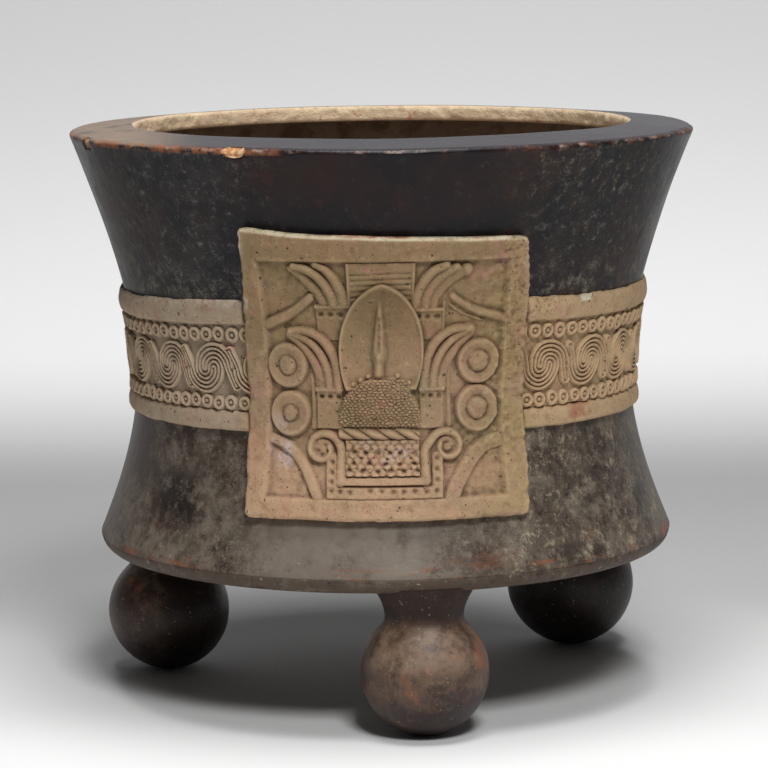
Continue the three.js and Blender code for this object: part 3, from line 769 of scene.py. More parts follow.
    LOWER_ARCS = {
        -1: ([(-50.0, 129.0), (-44.0, 127.2), (-38.6, 123.4), (-34.0, 117.6), (-30.4, 110.6), (-27.6, 104.0)],
             2.2),
        1: ([(50.6, 127.2), (44.0, 125.8), (38.4, 121.6), (33.6, 115.4), (29.6, 109.2), (27.2, 104.0)], 3.3),
    }
    UPPER_ARCS = {
        -1: ([(-29.0, 189.8), (-34.6, 185.2), (-41.0, 181.2), (-50.0, 177.2)], 2.2),
        1: ([(28.0, 189.8), (32.6, 186.4), (39.5, 182.9), (50.6, 179.6)], 1.8),
    }

    def lower_arc(self, s: Array, z: Array, side: int) -> Array:
        """The band that cuts off the field's lower corner."""
        points, half = self.LOWER_ARCS[side]
        return Stroke(points, half).band(s, z, 1.7, 0.9)

    def upper_arc(self, s: Array, z: Array, side: int) -> Array:
        """The band that cuts off the field's upper corner; the right one has a thin line under it."""
        points, half = self.UPPER_ARCS[side]
        form = Stroke(points, half * 0.85, half).band(s, z, 1.8)
        if side > 0:
            thin = Stroke([(27.0, 186.6), (32.0, 182.6), (41.2, 179.0)], 0.9)
            form = np.maximum(form, thin.ridge(s, z, 0.8))
        return form

    DISCS = {
        ("lower", -1): Disc((-40.3, 139.7), (9.4, 10.1), 3.4),
        ("lower", 1): Disc((39.9, 141.2), (10.0, 10.7), 4.7, hook=0.55),
        ("upper", -1): Disc((-41.0, 160.2), (9.3, 10.1), 4.0),
        ("upper", 1): Disc((40.2, 161.4), (9.9, 10.2), 4.6, hook=1.0),
    }

    def pieces(self) -> dict[str, tuple[Relief, Edges]]:
        """Each raised piece: its relief and the left, right, bottom and top that hold it."""
        found: dict[str, tuple[Relief, Edges]] = {
            "blade": (self.blade, (-20.5, 18.5, 149.0, 197.5)),
            "dome": (self.dome, (-21.5, 17.0, 132.5, 158.8)),
            "rope": (self.rope, (-21.5, 17.5, 127.0, 135.5)),
            "bead_block": (self.bead_block, (-17.8, 16.0, 112.2, 130.2)),
            "scroll_bowl": (self.scroll_bowl, (-35.5, 35.5, 102.4, 134.9)),
            "top_bars": (self.top_bars, (-15.2, 13.4, 183.5, 206.6)),
        }
        sided = {
            "lower_crest": (self.lower_crest, {1: (12.5, 43.0), -1: (-43.0, -15.5)}, (131.8, 180.0)),
            "upper_crest": (self.upper_crest, {1: (8.5, 36.5), -1: (-38.5, -11.5)}, (169.5, 206.8)),
            "lower_arc": (self.lower_arc, {1: (23.0, 53.5), -1: (-52.5, -24.0)}, (102.0, 131.5)),
            "upper_arc": (self.upper_arc, {1: (25.5, 52.5), -1: (-52.5, -27.5)}, (174.5, 193.0)),
        }
        for side, hand in ((1, "right"), (-1, "left")):
            for name, (draw, across, levels) in sided.items():
                found[f"{name}_{hand}"] = (partial(draw, side=side), (*across[side], *levels))
            for level in ("lower", "upper"):
                disc = self.DISCS[level, side]
                (middle, up), (wide, high) = disc.centre, disc.radius
                box = (middle - wide - 1.5, middle + wide + 1.5, up - high - 1.5, up + high + 1.5)
                found[f"{level}_disc_{hand}"] = (disc.relief, box)
        return found


@dataclass
class Panel:
    """One framed panel: its slab and, over it, the motif's pieces."""

    bowl: BowlShape
    motif: Motif = field(default_factory=Motif)
    # The whole panel's window, which the finishes' cavities are worked out on, and the pitches of its pieces.
    window: Window = Window(-63.0, 65.7, 92.5, 222.0, 0.36)
    slab_pitch: float = 0.62
    fine_pitch: float = 0.27
    fine_pieces: tuple[str, ...] = ("dome", "bead_block")
    field_depth: float = 3.0
    frame_depth: float = 5.3
    field_sides: tuple[float, float] = (-49.2, 50.4)
    field_bottom: float = 104.2
    field_top: float = 205.3
    edge_round: float = 2.2
    corner: float = 2.6
    dents: ClayNoise = field(default_factory=lambda: ClayNoise(21))

    def outline(self, s: Array, z: Array) -> Array:
        """How far inside the slab's uneven, slightly bulging outline each point lies."""
        left = -60.2 + 4.6 * np.clip((z - 156) / 60, 0, 1) ** 1.5 + 1.9 * np.clip((132 - z) / 36, 0, 1) ** 2
        right = 62.6 - 4.6 * np.clip((z - 150) / 62, 0, 1) ** 2.4 - 2.6 * np.clip((125 - z) / 30, 0, 1) ** 2
        top = 216.2 - 0.028 * s + 1.9 * np.clip((-s - 20) / 36, 0, 1) ** 2
        bottom = 95.2 - 0.006 * s
        rough = 0.32 * self.dents.at(s, z, 0.0, 15.0, 3)
        beside = np.minimum(s - left, right - s) + rough
        over = np.minimum(z - bottom, top - z) + 0.7 * rough
        corner = self.corner
        cut = corner - np.hypot(np.maximum(corner - beside, 0), np.maximum(corner - over, 0))
        return np.where((beside < corner) & (over < corner), cut, np.minimum(beside, over))

    def slab_depth(self, s: Array, z: Array) -> Array:
        """The slab's height over the wall: a rounded frame about a lower field."""
        left, right = self.field_sides
        wander = 0.5 * self.dents.at(z, s * 0, 3.0, 30.0)
        inside = box_inside(s, z, left + wander, right + wander, self.field_bottom, self.field_top)
        beside = np.minimum(s - left, right - s)
        over = np.minimum(z - self.field_bottom, self.field_top - z)
        step = np.where(beside < over, ease(-1.2, 1.2, inside), ease(-0.6, 0.8, inside))
        level = self.frame_depth - (self.frame_depth - self.field_depth) * step
        level = level + 0.3 * self.dents.at(s, z, 9.0, 26.0) + 0.16 * self.dents.at(s, z, 40.0, 7.0, 2)
        for points, half in self.motif.UPPER_ARCS.values():
            above = [(place, height + half + 0.7) for place, height in points]
            level = level - Stroke(above, 0.6).groove(s, z, 0.5)
        level = level - 1.2 * ease(1.0, 4.0, self.motif.blade_inside(s, z))
        out = np.clip(self.outline(s, z), 0, self.edge_round)
        worn = 1.1 * np.clip(self.dents.at(s, z, 80.0, 5.0, 3), 0, 1) * ease(5.0, 0.5, out)
        return level - edge_drop(out, self.edge_round) - worn + self.sand(s, z)

    def sand(self, s: Array, z: Array) -> Array:
        """The sandy crust on the panel's right side, and a little of it everywhere."""
        crust = 0.16 + 0.5 * ease(22, 52, s) * ease(220, 200, z) * ease(95, 120, z)
        return crust * np.clip(self.dents.at(s, z, 120.0, 2.3, 2) + 0.1, -0.6, 1)

    def build(self, finish: bpy.types.Material, face: str, turn: float, slot: str) -> list[bpy.types.Object]:
        """Build the panel.

        Args:
            finish: The clay's material.
            face: front or back, which ends its pieces' names.
            turn: How far round the axis it stands, in radians.
            slot: Not used.

        Returns:
            The panel's pieces, the slab first.
        """
        reliefs = self.motif.pieces()
        s, z = self.window.lattice()
        total = self.slab_depth(s, z)
        for relief, box in reliefs.values():
            rows = slice(*np.searchsorted(z[:, 0], box[2:]))
            columns = slice(*np.searchsorted(s[0], box[:2]))
            over = self._over(relief, s[rows, columns], z[rows, columns])
            total[rows, columns] = np.maximum(total[rows, columns], over)
        cavity = cavity_of(total, self.window.pitch)
        pieces = [self._slab(finish, face, turn, cavity)]
        for name, (relief, box) in reliefs.items():
            pitch = self.fine_pitch if name in self.fine_pieces else self.window.pitch
            window = Window(*box, pitch)
            s, z = window.lattice()
            depth = self._over(relief, s, z)
            mesh = Layer(window, depth, self.field_depth + SUNK, 1.4, self._sample(cavity, s, z)).mesh()
            bend_onto(mesh, self.bowl, turn)
            pieces.append(add_piece(f"{name}_{face}", mesh, finish))
        return pieces

    def _slab(
        self, finish: bpy.types.Material, face: str, turn: float, cavity: Array
    ) -> bpy.types.Object:
        """The framed slab."""
        window = replace(self.window, pitch=self.slab_pitch)
        s, z = window.lattice()
        outline = self.outline(s, z)
        worn = ease(2.6, 0.2, outline)
        layer = Layer(window, self.slab_depth(s, z), 0.0, -0.3, self._sample(cavity, s, z), outline, worn)
        mesh = layer.mesh()
        bend_onto(mesh, self.bowl, turn)
        return add_piece(f"panel_slab_{face}", mesh, finish)

    def _over(self, relief: Relief, s: Array, z: Array) -> Array:
        """A piece's height over the wall, down to where it sinks into the field."""
        over = relief(s, z)
        height = self.field_depth + over + 0.18 * self.dents.at(s, z, 60.0, 12.0, 2) + self.sand(s, z)
        floor = self.field_depth + SUNK
        return np.where(over <= SUNK + 0.01, floor, np.maximum(height, floor))

    def _sample(self, values: Array, s: Array, z: Array) -> Array:
        """What a grid over the whole panel holds at these places."""
        window = self.window
        rows, columns = values.shape
        column = np.clip(np.rint((s - window.left) / window.pitch), 0, columns - 1).astype(int)
        row = np.clip(np.rint((z - window.bottom) / window.pitch), 0, rows - 1).astype(int)
        return values[row, column]


# The applied band

# The height of a coil or pellet where there is none: a little under the strip that they lie on.
GONE = -0.2


@dataclass(frozen=True)
class Scrolls:
    """The running scroll, combed out of thin coils that turn about two centres."""

    coil: float = 1.9
    pitch: float = 27.0
    offset: float = 2.85
    reach: float = 11.4
    lean: float = math.radians(17)
    tip: float = 9.8
    height: float = 2.4
    # How much narrower the strands run in the straight stretch than in the turn.
    tight: float = 0.88

    def relief(self, across: Array, up: Array) -> Array:
        """The height of the coils over the strip.

        Args:
            across: Arc length from the middle of one spiral.
            up: Height over the row's middle line.
        """
        whole = np.rint(across / self.pitch)
        u = across - whole * self.pitch
        arcs = tails = np.full(u.shape, GONE)
        for shift in (-self.pitch, 0.0, self.pitch):
            for strands in (self._family(u - shift, up), self._family(shift - u, -up)):
                arcs, tails = np.maximum(arcs, strands[0]), np.maximum(tails, strands[1])
        return np.where(arcs > GONE + 0.01, arcs, tails)

    def _family(self, u: Array, v: Array) -> tuple[Array, Array]:
        """The strands over the top of a spiral at the origin, and their run down beside it to a hairpin."""
        reach, coil = self.reach, self.coil
        du = u - self.offset
        around = np.hypot(du, v)
        normal = (math.cos(self.lean), math.sin(self.lean))
        ahead = du * normal[1] - v * normal[0]
        side = du * normal[0] + v * normal[1]
        angle = np.arctan2(v, du)
        turned = (v >= 0) & (angle >= self.lean)
        inner, tight = 2 * self.offset, self.tight
        squeezed = inner + (side - inner + 0.35) / tight
        straight = side + (squeezed - side) * ease(0.0, 5.0, ahead)
        band = (inner + reach) / 2
        half = (reach - inner) / 2
        middle = inner + half * tight - 0.35
        end = (self.tip + middle * normal[1]) / normal[0] - half * tight
        beyond = ahead - end
        cap = np.hypot(straight - band, np.maximum(beyond, 0) / tight)
        on_straight = (~turned) & (ahead >= 0) & (side > 0)
        in_straight = on_straight & (np.abs(straight - band) < half) & (cap < half)
        in_core = (~turned) & (v >= 0) & (around < reach) & ~in_straight
        phase = np.where(on_straight & (beyond > 0), cap + band, np.where(turned, around, straight))
        phase = np.where(in_core, around, phase)
        strand = np.abs(np.cos(math.pi * (phase - coil / 2) / coil)) ** 0.75
        form = self.height * (0.1 + 0.9 * strand)
        turning = (turned & (around < reach)) | in_core
        return np.where(turning, form, GONE), np.where(in_straight, form, GONE)


@dataclass
class Band:
    """The relief band on one side of the bowl, between the two panels."""

    bowl: BowlShape
    side: str
    turn: float
    first_scroll: float
    first_pellet: float
    seed: int
    scrolls: Scrolls
    # How far the band's foot and its top sag.
    sag: Point
    left: float = 58.6
    right: float = HALF_TURN - 58.6
    slab_edges: Point = (62.2, HALF_TURN - 59.6)
    # Each fillet's depth over the wall, and how ragged its upper edge is.
    lower_fillet: Point = (2.7, 0.25)
    upper_fillet: Point = (3.2, 0.9)
    # The middle lines of the two pellet rows and of the scrolls between them, and half of what each takes up.
    lower_row: float = 142.3
    upper_row: float = 172.3
    pellet_half: float = 3.9
    scroll_row: float = 157.3
    scroll_half: float = 11.9
    edge_round: float = 1.5
    pellet_pitch: float = 7.0
    pellet_radius: float = 3.35
    # The upper row's pellets stand this far on from the lower row's.
    upper_shift: float = 2.6
    strip_depth: float = 1.3

    def __post_init__(self) -> None:
        """Draw the band's unevenness."""
        self.clay = ClayNoise(self.seed)

    def fillet(
        self, s: Array, z: Array, bottom: float, top: float, depth: float, ragged: float
    ) -> tuple[Array, Array]:
        """A plain strip that thins upwards, worn away along its upper edge and cracked beside the panels."""
        top_edge = top - 0.5 - ragged * np.clip(self.clay.at(s, z * 0, 5.0, 11.0, 3), -0.2, 1)
        bottom_edge = bottom + 0.3 * self.clay.at(s, z * 0, 9.0, 14.0, 2)
        inside = np.minimum(z - bottom_edge, top_edge - z)
        crown = 0.5 * (1 - ((z - (bottom + top) / 2) / ((top - bottom) / 2)) ** 2)
        thinned = ragged * 1.9 * ease(bottom + 3, top, z)
        beside = np.minimum(s - self.slab_edges[0], self.slab_edges[1] - s)
        beside = beside + 0.35 * self.clay.at(z, s * 0, 15.0, 6.0, 2)
        crack = 2.2 * bell(beside - 0.5, 0.55)
        level = depth + crown - edge_drop(inside, self.edge_round) - thinned - crack
        level = level + 0.25 * self.clay.at(s, z, 30.0, 18.0) + 0.1 * self.clay.at(s, z, 50.0, 5.0, 2)
        pits = ragged * 0.8 * np.clip(self.clay.at(s, z, 70.0, 3.2, 2) - 0.1, 0, 1) * ease(4.5, 0.5, inside)
        return level - pits, inside

    def pellets(self, s: Array, z: Array, level: float, start: float) -> Array:
        """A row of touching pellets, each a ring pressed about a small boss."""
        draw = np.random.default_rng(self.seed + round(level)).uniform(-1, 1, (64, 4))
        number = np.rint((s - start) / self.pellet_pitch).astype(int)
        form = np.full(s.shape, GONE)
        for step in (-1, 0, 1):
            shift = draw[(number + step) % 64]
            centre = start + (number + step) * self.pellet_pitch + 0.35 * shift[..., 0]
            radius = self.pellet_radius * (1 + 0.06 * shift[..., 1])
            x, y = s - centre, z - level - 0.3 * shift[..., 2]
            squash = 1 + 0.06 * shift[..., 3]
            r = np.hypot(x * squash, y / squash)
            ring = np.clip(1 - ((r - 0.71 * radius) / (0.30 * radius)) ** 2, 0, 1) ** 0.6
            boss = np.clip(1 - (r / (0.35 * radius)) ** 2, 0, 1) ** 0.6
            pellet = np.where(r < radius * 1.02, 0.45 + np.maximum(1.5 * ring, 1.3 * boss), GONE)
            form = np.maximum(form, pellet)
        return form

    def build(self, finish: bpy.types.Material, slot: str) -> list[bpy.types.Object]:
        """Build the band's six pieces in the finish, and return them."""
        lower_low, lower_high = cad_box(f"lower_fillet_{self.side}")
        upper_low, upper_high = cad_box(f"upper_fillet_{self.side}")
        strip_low, strip_high = cad_box(f"band_strip_{self.side}")
        made = {
            "lower_fillet": self._fillet_mesh(lower_low.z, lower_high.z, *self.lower_fillet),
            "upper_fillet": self._fillet_mesh(upper_low.z, upper_high.z, *self.upper_fillet),
            "band_strip": self._strip_mesh(strip_low.z - 0.5, strip_high.z + 0.5),
            "lower_pellet_row": self._pellet_mesh(self.lower_row, self.first_pellet),
            "upper_pellet_row": self._pellet_mesh(self.upper_row, self.first_pellet + self.upper_shift),
            "scroll_row": self._row_mesh(self.scroll_row, self.scroll_half, 0.34, self._scroll_relief),
        }
        pieces = []
        for name, mesh in made.items():
            self._settle(mesh, lower_low.z, upper_high.z)
            bend_onto(mesh, self.bowl, self.turn)
            pieces.append(add_piece(f"{name}_{self.side}", mesh, finish))
        return pieces

    def _settle(self, mesh: bpy.types.Mesh, bottom: float, top: float) -> None:
        """Let the flat mesh sag between the panels, by the sag of its foot and of its top."""
        points = read_points(mesh)
        between = np.sin(math.pi * np.clip((points[:, 0] - self.left) / (self.right - self.left), 0, 1))
        share = (points[:, 1] - bottom) / (top - bottom)
        points[:, 1] -= between * (self.sag[0] + (self.sag[1] - self.sag[0]) * share)
        write_points(mesh, points)

    def _scroll_relief(self, s: Array, z: Array) -> Array:
        """The scrolls, drawn by an unsteady hand."""
        wander_s = 0.55 * self.clay.at(s, z, 100.0, 13.0, 2)
        wander_z = 0.45 * self.clay.at(s, z, 140.0, 13.0, 2)
        form = self.scrolls.relief(s - self.first_scroll + wander_s, z - self.scroll_row + wander_z)
        worn = 1 - 0.3 * np.clip(self.clay.at(s, z, 180.0, 20.0, 2), 0, 1)
        return form * worn

    def _fillet_mesh(self, bottom: float, top: float, depth: float, ragged: float) -> bpy.types.Mesh:
        """The flat mesh of one plain strip."""
        window = Window(self.left, self.right, bottom - 0.6, top + 0.6, 0.6)
        s, z = window.lattice()
        level, inside = self.fillet(s, z, bottom, top, depth, ragged)
        return Layer(window, level, 0.0, -0.4, cavity_of(level, window.pitch), inside).mesh()

    def _strip_mesh(self, bottom: float, top: float) -> bpy.types.Mesh:
        """The flat strip that the rows lie on."""
        window = Window(self.left, self.right, bottom, top, 1.2)
        s, z = window.lattice()
        level = self.strip_depth + 0.12 * self.clay.at(s, z, 210.0, 8.0, 2)
        return Layer(window, level, 0.0, -0.4, np.full(s.shape, -0.35)).mesh()

    def _pellet_mesh(self, level: float, start: float) -> bpy.types.Mesh:
        """The flat mesh of one row of pellets."""
        return self._row_mesh(level, self.pellet_half, 0.32, lambda s, z: self.pellets(s, z, level, start))

    def _row_mesh(self, level: float, half: float, pitch: float, relief: Relief) -> bpy.types.Mesh:
        """The flat mesh of one row of applied coils or pellets."""
        window = Window(self.left, self.right, level - half, level + half, pitch)
        s, z = window.lattice()
        over = relief(s, z)
        depth = self.strip_depth + over + 0.12 * self.clay.at(s, z, 240.0, 4.0, 2)
        floor = self.strip_depth + GONE
        depth = np.where(over <= GONE + 0.01, floor, np.maximum(depth, floor))
        return Layer(window, depth, floor, 0.5, 1.25 * cavity_of(depth, pitch, 1.3)).mesh()


# The turned parts

def spun(name: str, profile: Sequence[Point], steps: int, centre: Point = (0.0, 0.0)) -> bpy.types.Mesh:
    """Spin a closed or axis-to-axis profile into a mesh, in millimetres.

    Args:
        name: The mesh's name.
        profile: Points of radius and height, starting and ending on the axis or closing on themselves.
        steps: How many steps the full turn has.
        centre: Where the axis stands.

    Returns:
        The closed mesh, with its faces outwards.
    """
    bm = bmesh.new()
    verts = [bm.verts.new((radius, 0.0, height)) for radius, height in profile]
    closed = profile[0][0] > 1e-6
    pairs = list(zip(verts, verts[1:])) + ([(verts[-1], verts[0])] if closed else [])
    edges = [bm.edges.new(pair) for pair in pairs]
    bmesh.ops.spin(
        bm, geom=verts + edges, cent=(0, 0, 0), axis=(0, 0, 1), angle=2 * math.pi,
        steps=steps, use_merge=True, use_duplicate=False,
    )
    bmesh.ops.remove_doubles(bm, verts=bm.verts[:], dist=1e-4)
    bmesh.ops.recalc_face_normals(bm, faces=bm.faces[:])
    bmesh.ops.translate(bm, verts=bm.verts[:], vec=(*centre, 0.0))
    mesh = bpy.data.meshes.new(name)
    bm.to_mesh(mesh)
    bm.free()
    return mesh


@dataclass(frozen=True)
class Chip:
    """A flake gone from the rim's edge, with its bearing from the front."""

    bearing: float
    level: float
    half_width: float
    half_height: float
    depth: float = 3.5

    def share(self, arc: Array, z: Array, radius: Array, rim_radius: float) -> Array:
        """How much of the flake is gone at each place: 1 in its middle and 0 outside."""
        across = (arc - self.bearing * rim_radius) / self.half_width
        up = (z - self.level) / self.half_height
        inward = (rim_radius - radius) / self.depth
        return ease(1.15, 0.75, np.sqrt(across ** 2 + up ** 2 + inward ** 2))


@dataclass
class Bowl:
    """The turned body: wall, floor slab and rim ring."""

    shape: BowlShape
    steps: int = 360
    lip_width: float = 29.4
    # How far the slab's underside draws in at its rounded edge.
    slab_round: float = 8.5
    chips: ClayNoise = field(default_factory=lambda: ClayNoise(31))
    rim_chips: tuple[Chip, ...] = (
        Chip(math.radians(-26.1), 252.4, 5.2, 3.4),
        Chip(math.radians(-66.5), 249.8, 3.2, 4.2),
        Chip(math.radians(152.0), 251.8, 5.0, 3.0),
        Chip(math.radians(-140.0), 251.0, 4.0, 2.6),
    )

    def build_wall(self, finish: bpy.types.Material) -> bpy.types.Object:
        """The wall, down to the floor slab and up to the rim ring."""
        low, high = cad_box("vessel_wall")
        bottom, top = low.z - JOINT, high.z + JOINT
        base = self.shape.base_radius
        foot = [(base - 0.4, bottom - 0.9), (base, bottom - 0.9), (base, bottom - 0.6)]
        outside = self._along_wall(bottom, top, 110, 0.0)
        inside = self._along_wall(top, bottom, 40, -self.shape.wall)
        mesh = spun("vessel_wall", foot + outside + inside, self.steps)
        self._hand_made(mesh)
        return add_piece("vessel_wall", mesh, finish)

    def _along_wall(self, start: float, end: float, count: int, out: float) -> list[Point]:
        """Points of radius and height that lie this far out from the wall, from one height to another."""
        return [(float(self.shape.radius(z)) + out, float(z)) for z in np.linspace(start, end, count)]

    def build_slab(self, finish: bpy.types.Material) -> bpy.types.Object:
        """The floor slab, with the rounded, rubbed edge that shows under the wall."""
        low, high = cad_box("floor_slab")
        radius, bottom, top = high.x, low.z, self.shape.slab_top
        fall = self.slab_round
        edge = []
        for angle in np.radians(np.linspace(-90, 0, 10)):
            out, up = math.cos(angle), math.sin(angle)
            edge.append((radius - 0.2 - fall + fall * out, top - 0.9 + (top - 0.9 - bottom) * up))
        floor_radius = self.shape.waist_radius - self.shape.wall - 3.0
        inner = [(r, bottom) for r in np.linspace(0, radius - fall, 20)[:-1]]
        floor = [
            (radius - 0.6, top - 0.3), (radius - 1.2, top), (radius - 5.2, top), (floor_radius + 1, top),
            (floor_radius, high.z), (floor_radius / 2, high.z), (0, high.z),
        ]
        mesh = spun("floor_slab", inner + edge + floor, self.steps)
        self._hand_made(mesh)
        return add_piece("floor_slab", mesh, finish)

    def build_rim(self, finish: bpy.types.Material) -> bpy.types.Object:
        """The rim ring: a flat lip that reaches inwards, a worn outer edge with a painted highlight, and a
        bare inner face.
        """
        low, high = cad_box("rim_ring")
        radius, inner = high.x, high.x - self.lip_width
        edge = self.shape.rim_edge
        foot = float(self.shape.radius(low.z - 0.5))
        outer = [(foot - 1.0, low.z - 0.5), (foot + 0.03, low.z - 0.5)]
        outer += self._along_wall(low.z, edge - 0.4, 8, 0.03)
        lip = [(radius - back, edge + up) for back, up in ((0.1, 0.3), (0.5, 1.0), (1.2, 1.5), (2.2, 1.9))]
        start, level = lip[-1]
        shares = np.linspace(0.04, 1.0, 26) ** 1.3
        top = [(start - (start - inner - 1.8) * share, level + (high.z - level) * share) for share in shares]
        inside = [(inner + 0.8, high.z - 0.3), (inner + 0.2, high.z - 1.0), (inner, high.z - 2.2)]
        inside += [(inner, z) for z in np.linspace(high.z - 3.4, low.z + 1.5, 5)]
        under = [(inner + 0.4, low.z + 0.5), (inner + 1.6, low.z - 0.1)]
        under += [(inner + 6, low.z), (radius - 12, low.z - 0.2)]
        mesh = spun("rim_ring", outer + lip + top + inside + under, self.steps)
        self._hand_made(mesh, rim=True)
        return add_piece("rim_ring", mesh, finish)

    def _hand_made(self, mesh: bpy.types.Mesh, rim: bool = False) -> None:
        """Give a turned mesh the wall's drift and chips, mark bare and worn places, and scale it down. On the
        rim, the worn mark also places a painted highlight.
        """
        points = read_points(mesh)
        x, y, z = points.T
        radius = np.hypot(x, y)
        angle = np.arctan2(x, -y)
        outer = self.shape.radius(z)
        depth_in = outer - radius
        drift = self.shape.drift(angle, z) * ease(60, 100, radius)
        bare = np.where((depth_in > 5.0) & (z > self.shape.slab_top - 0.5), 1.0, 0.0)
        chipped = np.zeros(z.shape)
        if rim:
            low, high = cad_box("rim_ring")
            edge = ease(3.2, 0.6, np.hypot(depth_in - 0.8, np.maximum(low.z + 4.2 - z, 0)))
            ragged = np.clip(self.chips.at(x, y, z, 8.0, 3) - 0.1, 0, 1) * edge
            ragged = ragged * (0.35 + 0.65 * ease(0.0, 0.5, np.abs(angle - 0.2)))
            for chip in self.rim_chips:
                chipped = np.maximum(chipped, chip.share(angle * high.x, z, radius, high.x))
            drift = drift - 1.0 * ragged - 1.7 * chipped
            wave = 0.3 * ease(low.z, low.z + 4.0, z)
            z = z + wave * self.chips.at(x, y, z * 0, 45.0) - 0.6 * ragged - 0.8 * chipped * edge
            inner = high.x - self.lip_width
            bare = ease(inner + 1.6, inner + 0.5, radius)
            drift = drift + 0.6 * self.chips.at(x, y, z, 6.0, 3) * bare
            # On the rim, the worn mark is its outer corner, which holds both wear and a painted highlight.
            worn = edge
        else:
            worn = bell(z - self.shape.slab_top + 0.5, 3.4) * ease(6.0, 0.0, np.abs(depth_in))
            drift = drift - 0.8 * np.clip(self.chips.at(x, y, z, 9.0, 3) - 0.15, 0, 1) * worn
        scale = (radius + drift) / np.maximum(radius, 1e-6)
        write_points(mesh, MM * np.stack([x * scale, y * scale, z], 1))
        write_attribute(mesh, "bare", bare)
        write_attribute(mesh, "worn", worn)
        write_attribute(mesh, "chip", chipped)


@dataclass
class Foot:
    """A hollow ball foot on a short neck. Its place and radius come from the CAD ball."""

    place: str
    seed: int
    wall: float = 7.0
    flat: float = 5.0
    seat: float = 4.0
    neck_waist: float = 16.9
    neck_top: float = 21.9
    fillet: float = 2.2
    bore: float = 11.5
    # The slab's underside is flat to the first radius and then rounds up. A neck stays within the second.
    flat_radius: float = 121.0
    seat_radius: float = 127.2
    slab_round: float = 8.5

    def __post_init__(self) -> None:
        """Read where the ball stands, and draw its unevenness."""
        low, high = cad_box(f"foot_ball_{self.place}")
        self.radius = (high.x - low.x) / 2
        self.centre = ((low.x + high.x) / 2, (low.y + high.y) / 2)
        self.level = math.sqrt(self.radius ** 2 - self.flat ** 2)
        self.top = high.z
        self.clay = ClayNoise(self.seed)

    def build(self, finish: bpy.types.Material) -> list[bpy.types.Object]:
        """Build the ball and its neck in the finish, and return them."""
        lowest, highest = (math.asin((z - self.level) / self.radius) for z in (0.0, self.top))
        outer = self._arc(self.radius, lowest, highest, 48)
        hollow = self.radius - self.wall
        inner = self._arc(hollow, math.acos(self.bore / hollow), -math.pi / 2, 20)
        inner[-1] = (0.0, self.level - hollow)
        ball = spun("foot_ball", [(0.0, 0.0), *outer, (self.bore, self.top), *inner], 96, self.centre)
        low, high = cad_box(f"foot_neck_{self.place}")
        start = low.z - self.seat
        neck = []
        for z in np.linspace(start, high.z + JOINT, 36):
            share = max((z - low.z) / (high.z - low.z), 0.0)
            above = self.neck_waist + (self.neck_top - self.neck_waist) * share ** 2
            over = z - self.level
            below = math.sqrt(max(self.radius ** 2 - over ** 2, 0.0)) if over > 0 else self.radius
            blend = math.hypot(above - below, self.fillet)
            neck.append(((above + below + blend) / 2 - 0.32, z))
        neck += [(self.neck_top - 1.5, high.z + 1.3), (self.bore, high.z + 1.3), (self.bore, start)]
        collar = spun("foot_neck", neck, 96, self.centre)
        pieces = []
        for kind, mesh in (("foot_ball", ball), ("foot_neck", collar)):
            self._hand_made(mesh, high.z)
            pieces.append(add_piece(f"{kind}_{self.place}", mesh, finish))
        return pieces

    def _arc(self, radius: float, start: float, end: float, count: int) -> list[Point]:
        """Points of radius and height on a circle about the ball's middle, from one rise to another."""
        rises = np.linspace(start, end, count)
        return [(radius * math.cos(rise), self.level + radius * math.sin(rise)) for rise in rises]

    def _hand_made(self, mesh: bpy.types.Mesh, seat: float) -> None:
        """Smear the mesh up on the slab's round edge, press it out of true, and scale it down to metres.

        Args:
            mesh: The turned mesh, in millimetres.
            seat: The height of the slab's underside.
        """
        points = read_points(mesh)
        reach = np.hypot(points[:, 0], points[:, 1])
        under = ease(seat - 6, seat, points[:, 2])
        points[:, :2] *= (1 - (1 - np.minimum(self.seat_radius / reach, 1)) * under)[:, None]
        past_flat = np.clip(reach - self.flat_radius, 0, 5.6)
        points[:, 2] += (self.slab_round - np.sqrt(self.slab_round ** 2 - past_flat ** 2)) * under
        x, y, z = points[:, 0] - self.centre[0], points[:, 1] - self.centre[1], points[:, 2]
        swell = 0.010 * self.clay.at(x, y, z, 30.0) + 0.004 * self.clay.at(x, y, z, 9.0, 2)
        swell = 1 + swell * ease(0, 6, z)
        write_points(mesh, MM * np.stack([x * swell + self.centre[0], y * swell + self.centre[1], z], 1))


# Finishes

def linear(colour: str) -> tuple[float, float, float, float]:
    """An sRGB colour such as #8A6A4C as linear red, green, blue and alpha."""
    channels = [int(colour[i:i + 2], 16) / 255 for i in (1, 3, 5)]
    values = [c / 12.92 if c <= 0.04045 else ((c + 0.055) / 1.055) ** 2.4 for c in channels]
    return (*values, 1.0)


def add_node(
    tree: Tree, kind: str, links: dict[str | int, object] | None = None, **settings: object
) -> bpy.types.Node:
    """Add a node to a material.

    Args:
        tree: The material's node tree.
        kind: The node's type.
        links: For each input, the output that feeds it or the value that it holds.
        settings: The node's own settings.

    Returns:
        The node.
    """
    node = tree.nodes.new(kind)
    for name, value in settings.items():
        setattr(node, name, value)
    for key, value in (links or {}).items():
        socket = node.inputs[key]
        if isinstance(value, bpy.types.NodeSocket):
            tree.links.new(value, socket)
        else:
            socket.default_value = value
    return node


